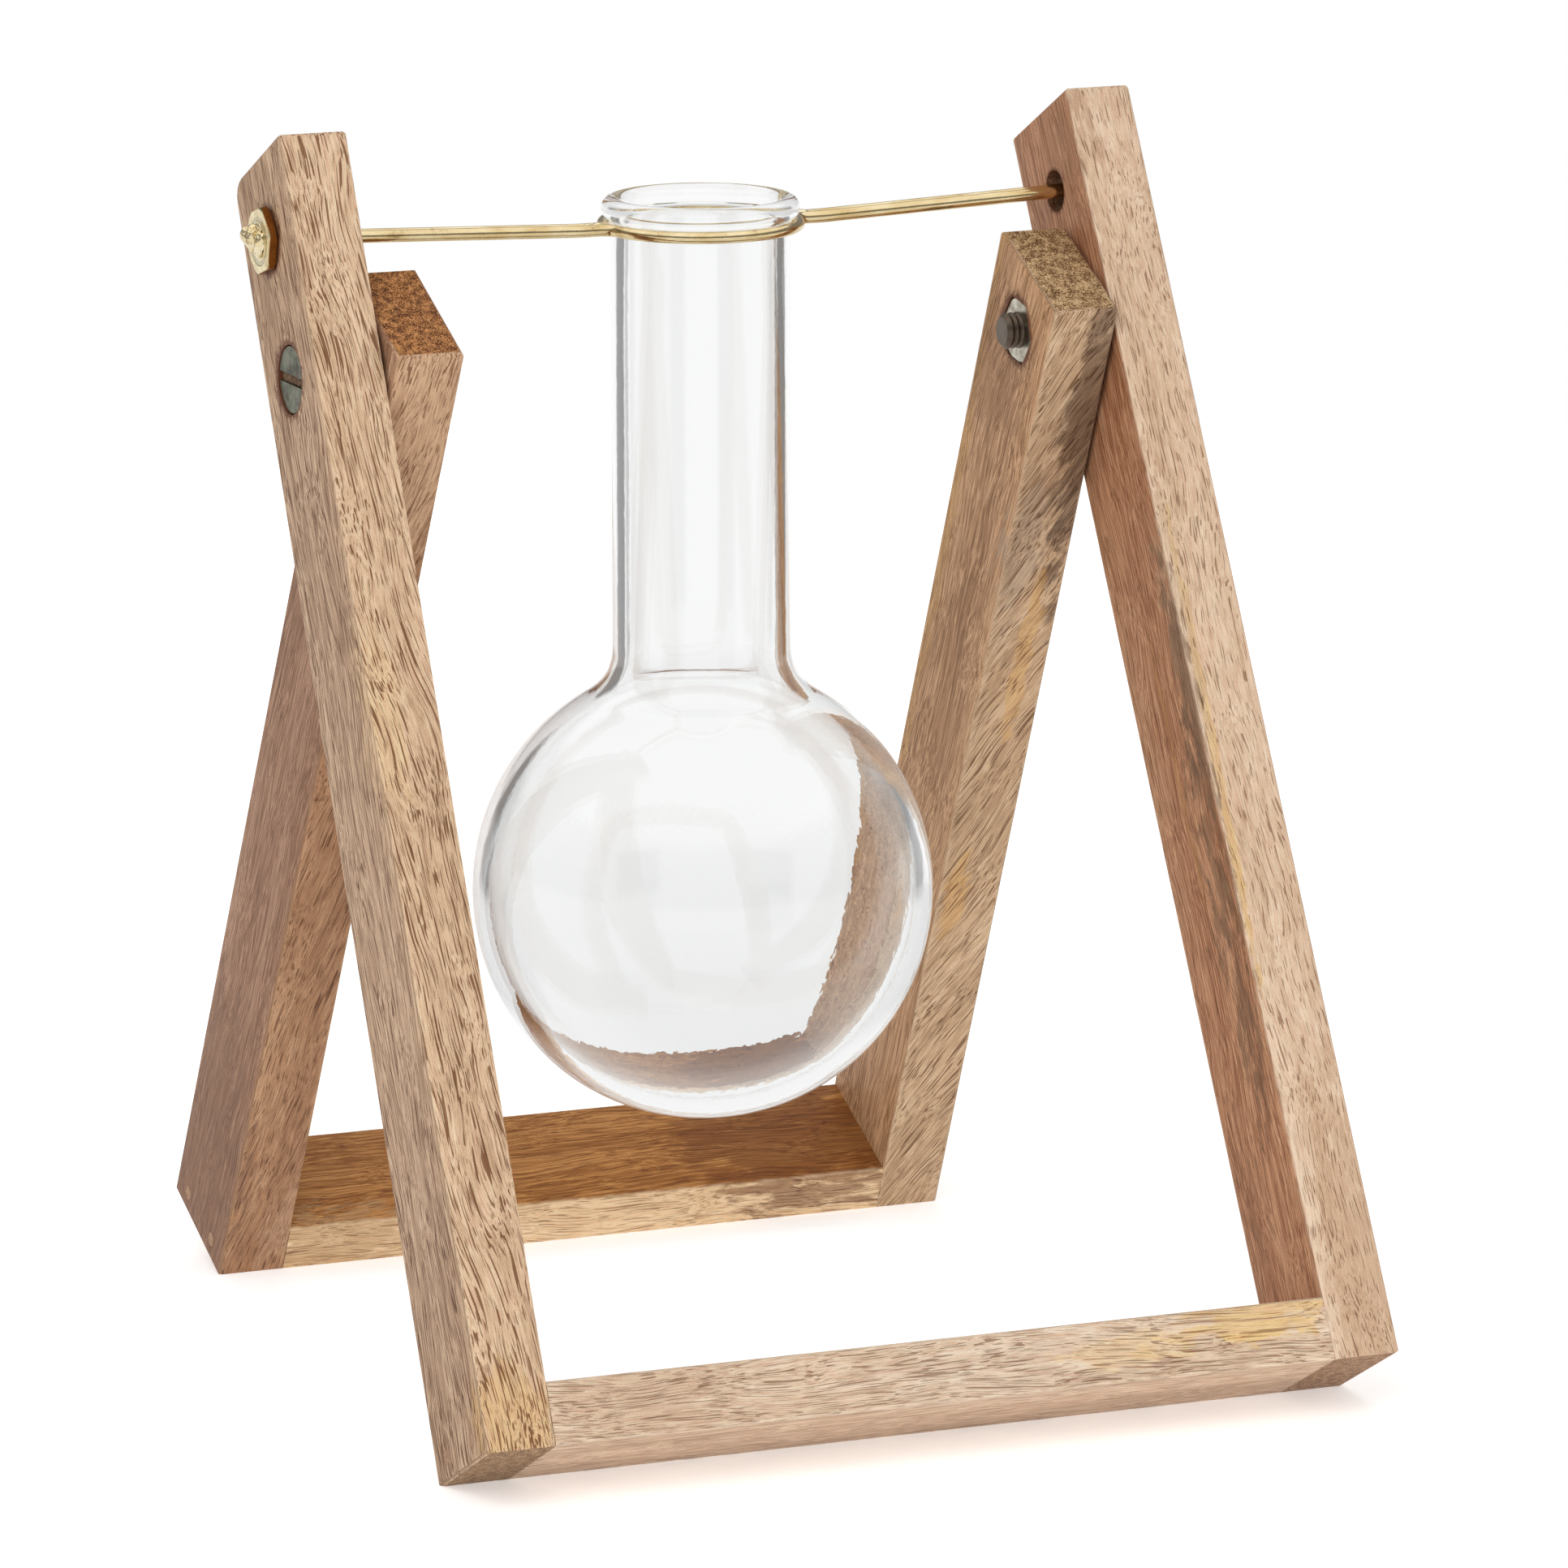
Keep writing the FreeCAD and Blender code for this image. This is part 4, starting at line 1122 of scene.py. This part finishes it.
def lumpy(name, side, start, sag, balls, depth, grid, softness):  # balls that melt into one mass
    members = []
    for (x, y, z), size in balls:
        dropAll()
        bpy.ops.mesh.primitive_uv_sphere_add(segments=24, ring_count=16, radius=mm)
        ball = bpy.context.object
        ball.scale = size
        putAt(ball, y, z - sag, x=side * (start + x))
        members.append(ball)
    mass = members[0]
    takeUp(mass)
    for ball in members:
        ball.select_set(True)
    bpy.ops.object.join()
    mass.name = name
    addModifier(mass, "REMESH", mode="VOXEL", voxel_size=grid * mm)
    addModifier(mass, "SMOOTH", iterations=softness)
    for share, grain in holder["dents"]:
        roughen(mass, depth * share, grain)
    outwards(mass)
    smooth(mass, 180)
    putAt(mass, *stand["holder"])
    return mass


nuts = {
    "slope": 0.6,  # along the axis, for each millimetre of chamfer
    "clear": 0.05,  # past the corners
    "drill": 1,  # how far the bore's tool reaches past the faces
    "sharp": 25,
}


def makeNut(name, sizes, face, side):
    flats, thickness, corner = sizes["nutFlats"], sizes["nutThickness"], sizes["nutCorner"]
    nut = hexTool(name, flats, sizes["nutTurn"], face, face + thickness, side)
    outside = flats / math.sqrt(3)
    narrow, wide = outside - corner, outside + nuts["clear"]
    slope = corner * nuts["slope"]
    steps = [(0, narrow), (slope, wide), (thickness - slope, wide), (thickness, narrow)]
    steps = [(side * (face + x), radius) for x, radius in steps]
    carve(nut, turned("nutLathe", steps, segments=96), "INTERSECT")
    start, end = side * (face - nuts["drill"]), side * (face + thickness + nuts["drill"])
    bore(nut, sizes["nutBore"], start, end)
    return nut


def makeScrew(sideName, side):
    head, face = screws["headRadius"], screws["headFace"]
    edge, chip, shank = screws["headEdge"], screws["headBreak"], screws["shank"]
    end = face - screws["screwLength"]
    steps = [(face, head - chip), (face - chip, head), (face - edge, head)]
    steps.append((face - edge - head + shank, shank))
    pitch, root = screws["pitch"], screws["threadRoot"]
    start = end + screws["tip"] + screws["threads"] * pitch
    for turn in range(screws["threads"]):
        for share, radius in zip(screws["threadShares"], (shank, root, root, shank)):
            steps.append((start - (turn + share) * pitch, radius))
    steps += [(end + screws["tip"], shank), (end, screws["tipRadius"])]
    steps = [(side * x, radius) for x, radius in steps]
    screw = turned("pivotScrew" + sideName.title(), steps, segments=72)
    putAt(screw, *stand["pivot"])
    carve(screw, makeBox(
        "slotTool", (2 * screws["slotDepth"], 3 * head, screws["slotWidth"]),
        (side * face, *stand["pivot"]),
    ))
    smooth(screw, 30)
    return screw


def makeDust(sideName, side):  # what lies in the slot
    depth = screws["slotDepth"] - screws["dustLevel"]
    face = screws["headFace"] - screws["dustLevel"]
    room = (depth, 2 * screws["headRadius"], screws["slotWidth"])
    dust = makeBox(
        "slotDust" + sideName.title(), [space - gap for space, gap in zip(room, screws["dustGap"])],
        (side * (face - depth / 2), *stand["pivot"]),
    )
    editMode(dust, "FACE")
    bpy.ops.mesh.subdivide(number_cuts=screws["dustCuts"])
    leaveEdit()
    roughen(dust, *screws["dustLumps"], seed=(side, *screws["dustSeed"]))
    outwards(dust)
    return dust


def makeMetal(name):
    first, second, spotTone, rough, *endTone = metals[name]
    kind = metalKinds[name[-5:]]
    metal = Finish(name)
    clouds, spots, scratches, marks = (metal.noise(metal.spot, *grain) for grain in kind["grains"])
    colour = metal.ramp(clouds, kind["stops"], tones((first, second)))
    if endTone:
        fromMiddle = metal.maths("ABSOLUTE", metal.split(metal.spot)["X"])
        outer = metal.between(fromMiddle, *inMetres(screws["innerEnd"]))
        colour = metal.blend(outer, tone(*endTone[0]), colour)
    spotted = metal.between(spots, *kind["spotFade"])
    metal.shade("Base Color", metal.blend(spotted, colour, tone(*spotTone)))
    metal.shade("Metallic", metal.minus(1.0, spotted) if kind["rusts"] else 1.0)
    metal.shade("Roughness", metal.between(clouds, *usual, rough + kind["dulling"], rough))
    relief = metal.plus(metal.times(scratches, kind["scratchShare"]), marks)
    metal.shade("Normal", metal.bump(relief, *kind["relief"]))
    return metal


def makeNutBrass():  # turned rings on the face, round the holder's axis, and painted shade on the sides
    brass = makeMetal("nutBrass")
    centred = brass.vector("SUBTRACT", brass.spot, inMetres((0, *stand["holder"])))
    away = brass.vector("LENGTH", brass.vector("MULTIPLY", centred, (0, 1 / mm, 1 / mm)))
    inner, innerEnd, outerStart, outer = holder["ring"]
    ring = brass.times(brass.between(away, inner, innerEnd), brass.between(away, outer, outerStart))
    colour = brass.blend(
        brass.times(ring, holder["ringShare"]), brass.shaded("Base Color"), holder["ringTone"]
    )
    fromMiddle = brass.maths("ABSOLUTE", brass.split(brass.spot)["X"])
    face = holder["face"] + holder["nutThickness"]
    onFace = brass.between(fromMiddle, *inMetres(face - depth for depth in holder["facets"]))
    # the sides below the face get painted shade
    brass.shade("Base Color", brass.blend(onFace, holder["facetShade"], colour))
    often, height = holder["turning"]
    turning = brass.times(brass.maths("SINE", brass.times(away, often)), height)
    relief = brass.bump(brass.minus(turning, ring), *holder["relief"], brass.shaded("Normal"))
    brass.shade("Normal", relief)
    return brass


def makeGrit(name):
    *gritTones, grain = grits[name]
    dust = Finish(name)
    grainy = dust.noise(dust.spot, (grain, grain, grain), *grit["grain"])
    dust.shade("Base Color", dust.ramp(grainy, grit["stops"], tones(gritTones)))
    dust.shade("Roughness", dust.between(grainy, *usual, *grit["roughness"]))
    dust.shade("Normal", dust.bump(grainy, *grit["relief"]))
    return dust


def makePivots():
    steel, nutSteel, dustFinish = makeMetal("dullSteel"), makeMetal("nutSteel"), makeGrit("slotDust")
    for sideName, side in sides.items():
        screw = makeScrew(sideName, side)
        steel.giveTo(screw)
        dust = makeDust(sideName, side)
        dustFinish.giveTo(dust)
        nut = makeNut("pivotNut" + sideName.title(), screws, screws["nutFace"], side)
        putAt(nut, *stand["pivot"], stand["lean"]["back"])
        smooth(nut, nuts["sharp"])
        nutSteel.giveTo(nut)
        for piece, kind in ((screw, "screw"), (dust, "screw"), (nut, "nut")):
            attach(piece, "back_frame")
            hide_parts(f"pivot_{kind}_{sideName}")


def makeHolderEnds():
    nutBrass, peened = makeNutBrass(), makeMetal("peenedBrass")
    outside = holder["face"] + holder["nutThickness"]
    for sideName, side in sides.items():
        nut = makeNut("holderNut" + sideName.title(), holder, holder["face"], side)
        putAt(nut, *stand["holder"])
        smooth(nut, nuts["sharp"])
        nutBrass.giveTo(nut)
        # the two rods are hammered over the nut and brazed
        end, bead = (lumpy(kind + sideName.title(), side, *place) for kind, *place in (
            ("wireEnd", outside, 0, holder["endLumps"], *holder["endMelt"]),
            ("ringBraze", holder["reach"], holder["sag"], holder["beadLumps"], *holder["beadMelt"]),
        ))
        peened.giveTo(end)
        peened.giveTo(bead)
        for piece, kind in ((nut, "holder_nut"), (end, "wire_end"), (bead, "ring_braze")):
            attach(piece, "holder")
            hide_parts(f"{kind}_{sideName}")


def dressNodes():
    finishes = {
        "wire": makeMetal("drawnBrass"), "nails": makeMetal("nailSteel"), "plugs": makeGrit("filler")
    }
    for name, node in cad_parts.items():
        kind = name.split("_")[-1]
        if kind in finishes:
            finishes[kind].giveTo(node)


makePivots()
makeHolderEnds()
dressNodes()
print("metals finished")
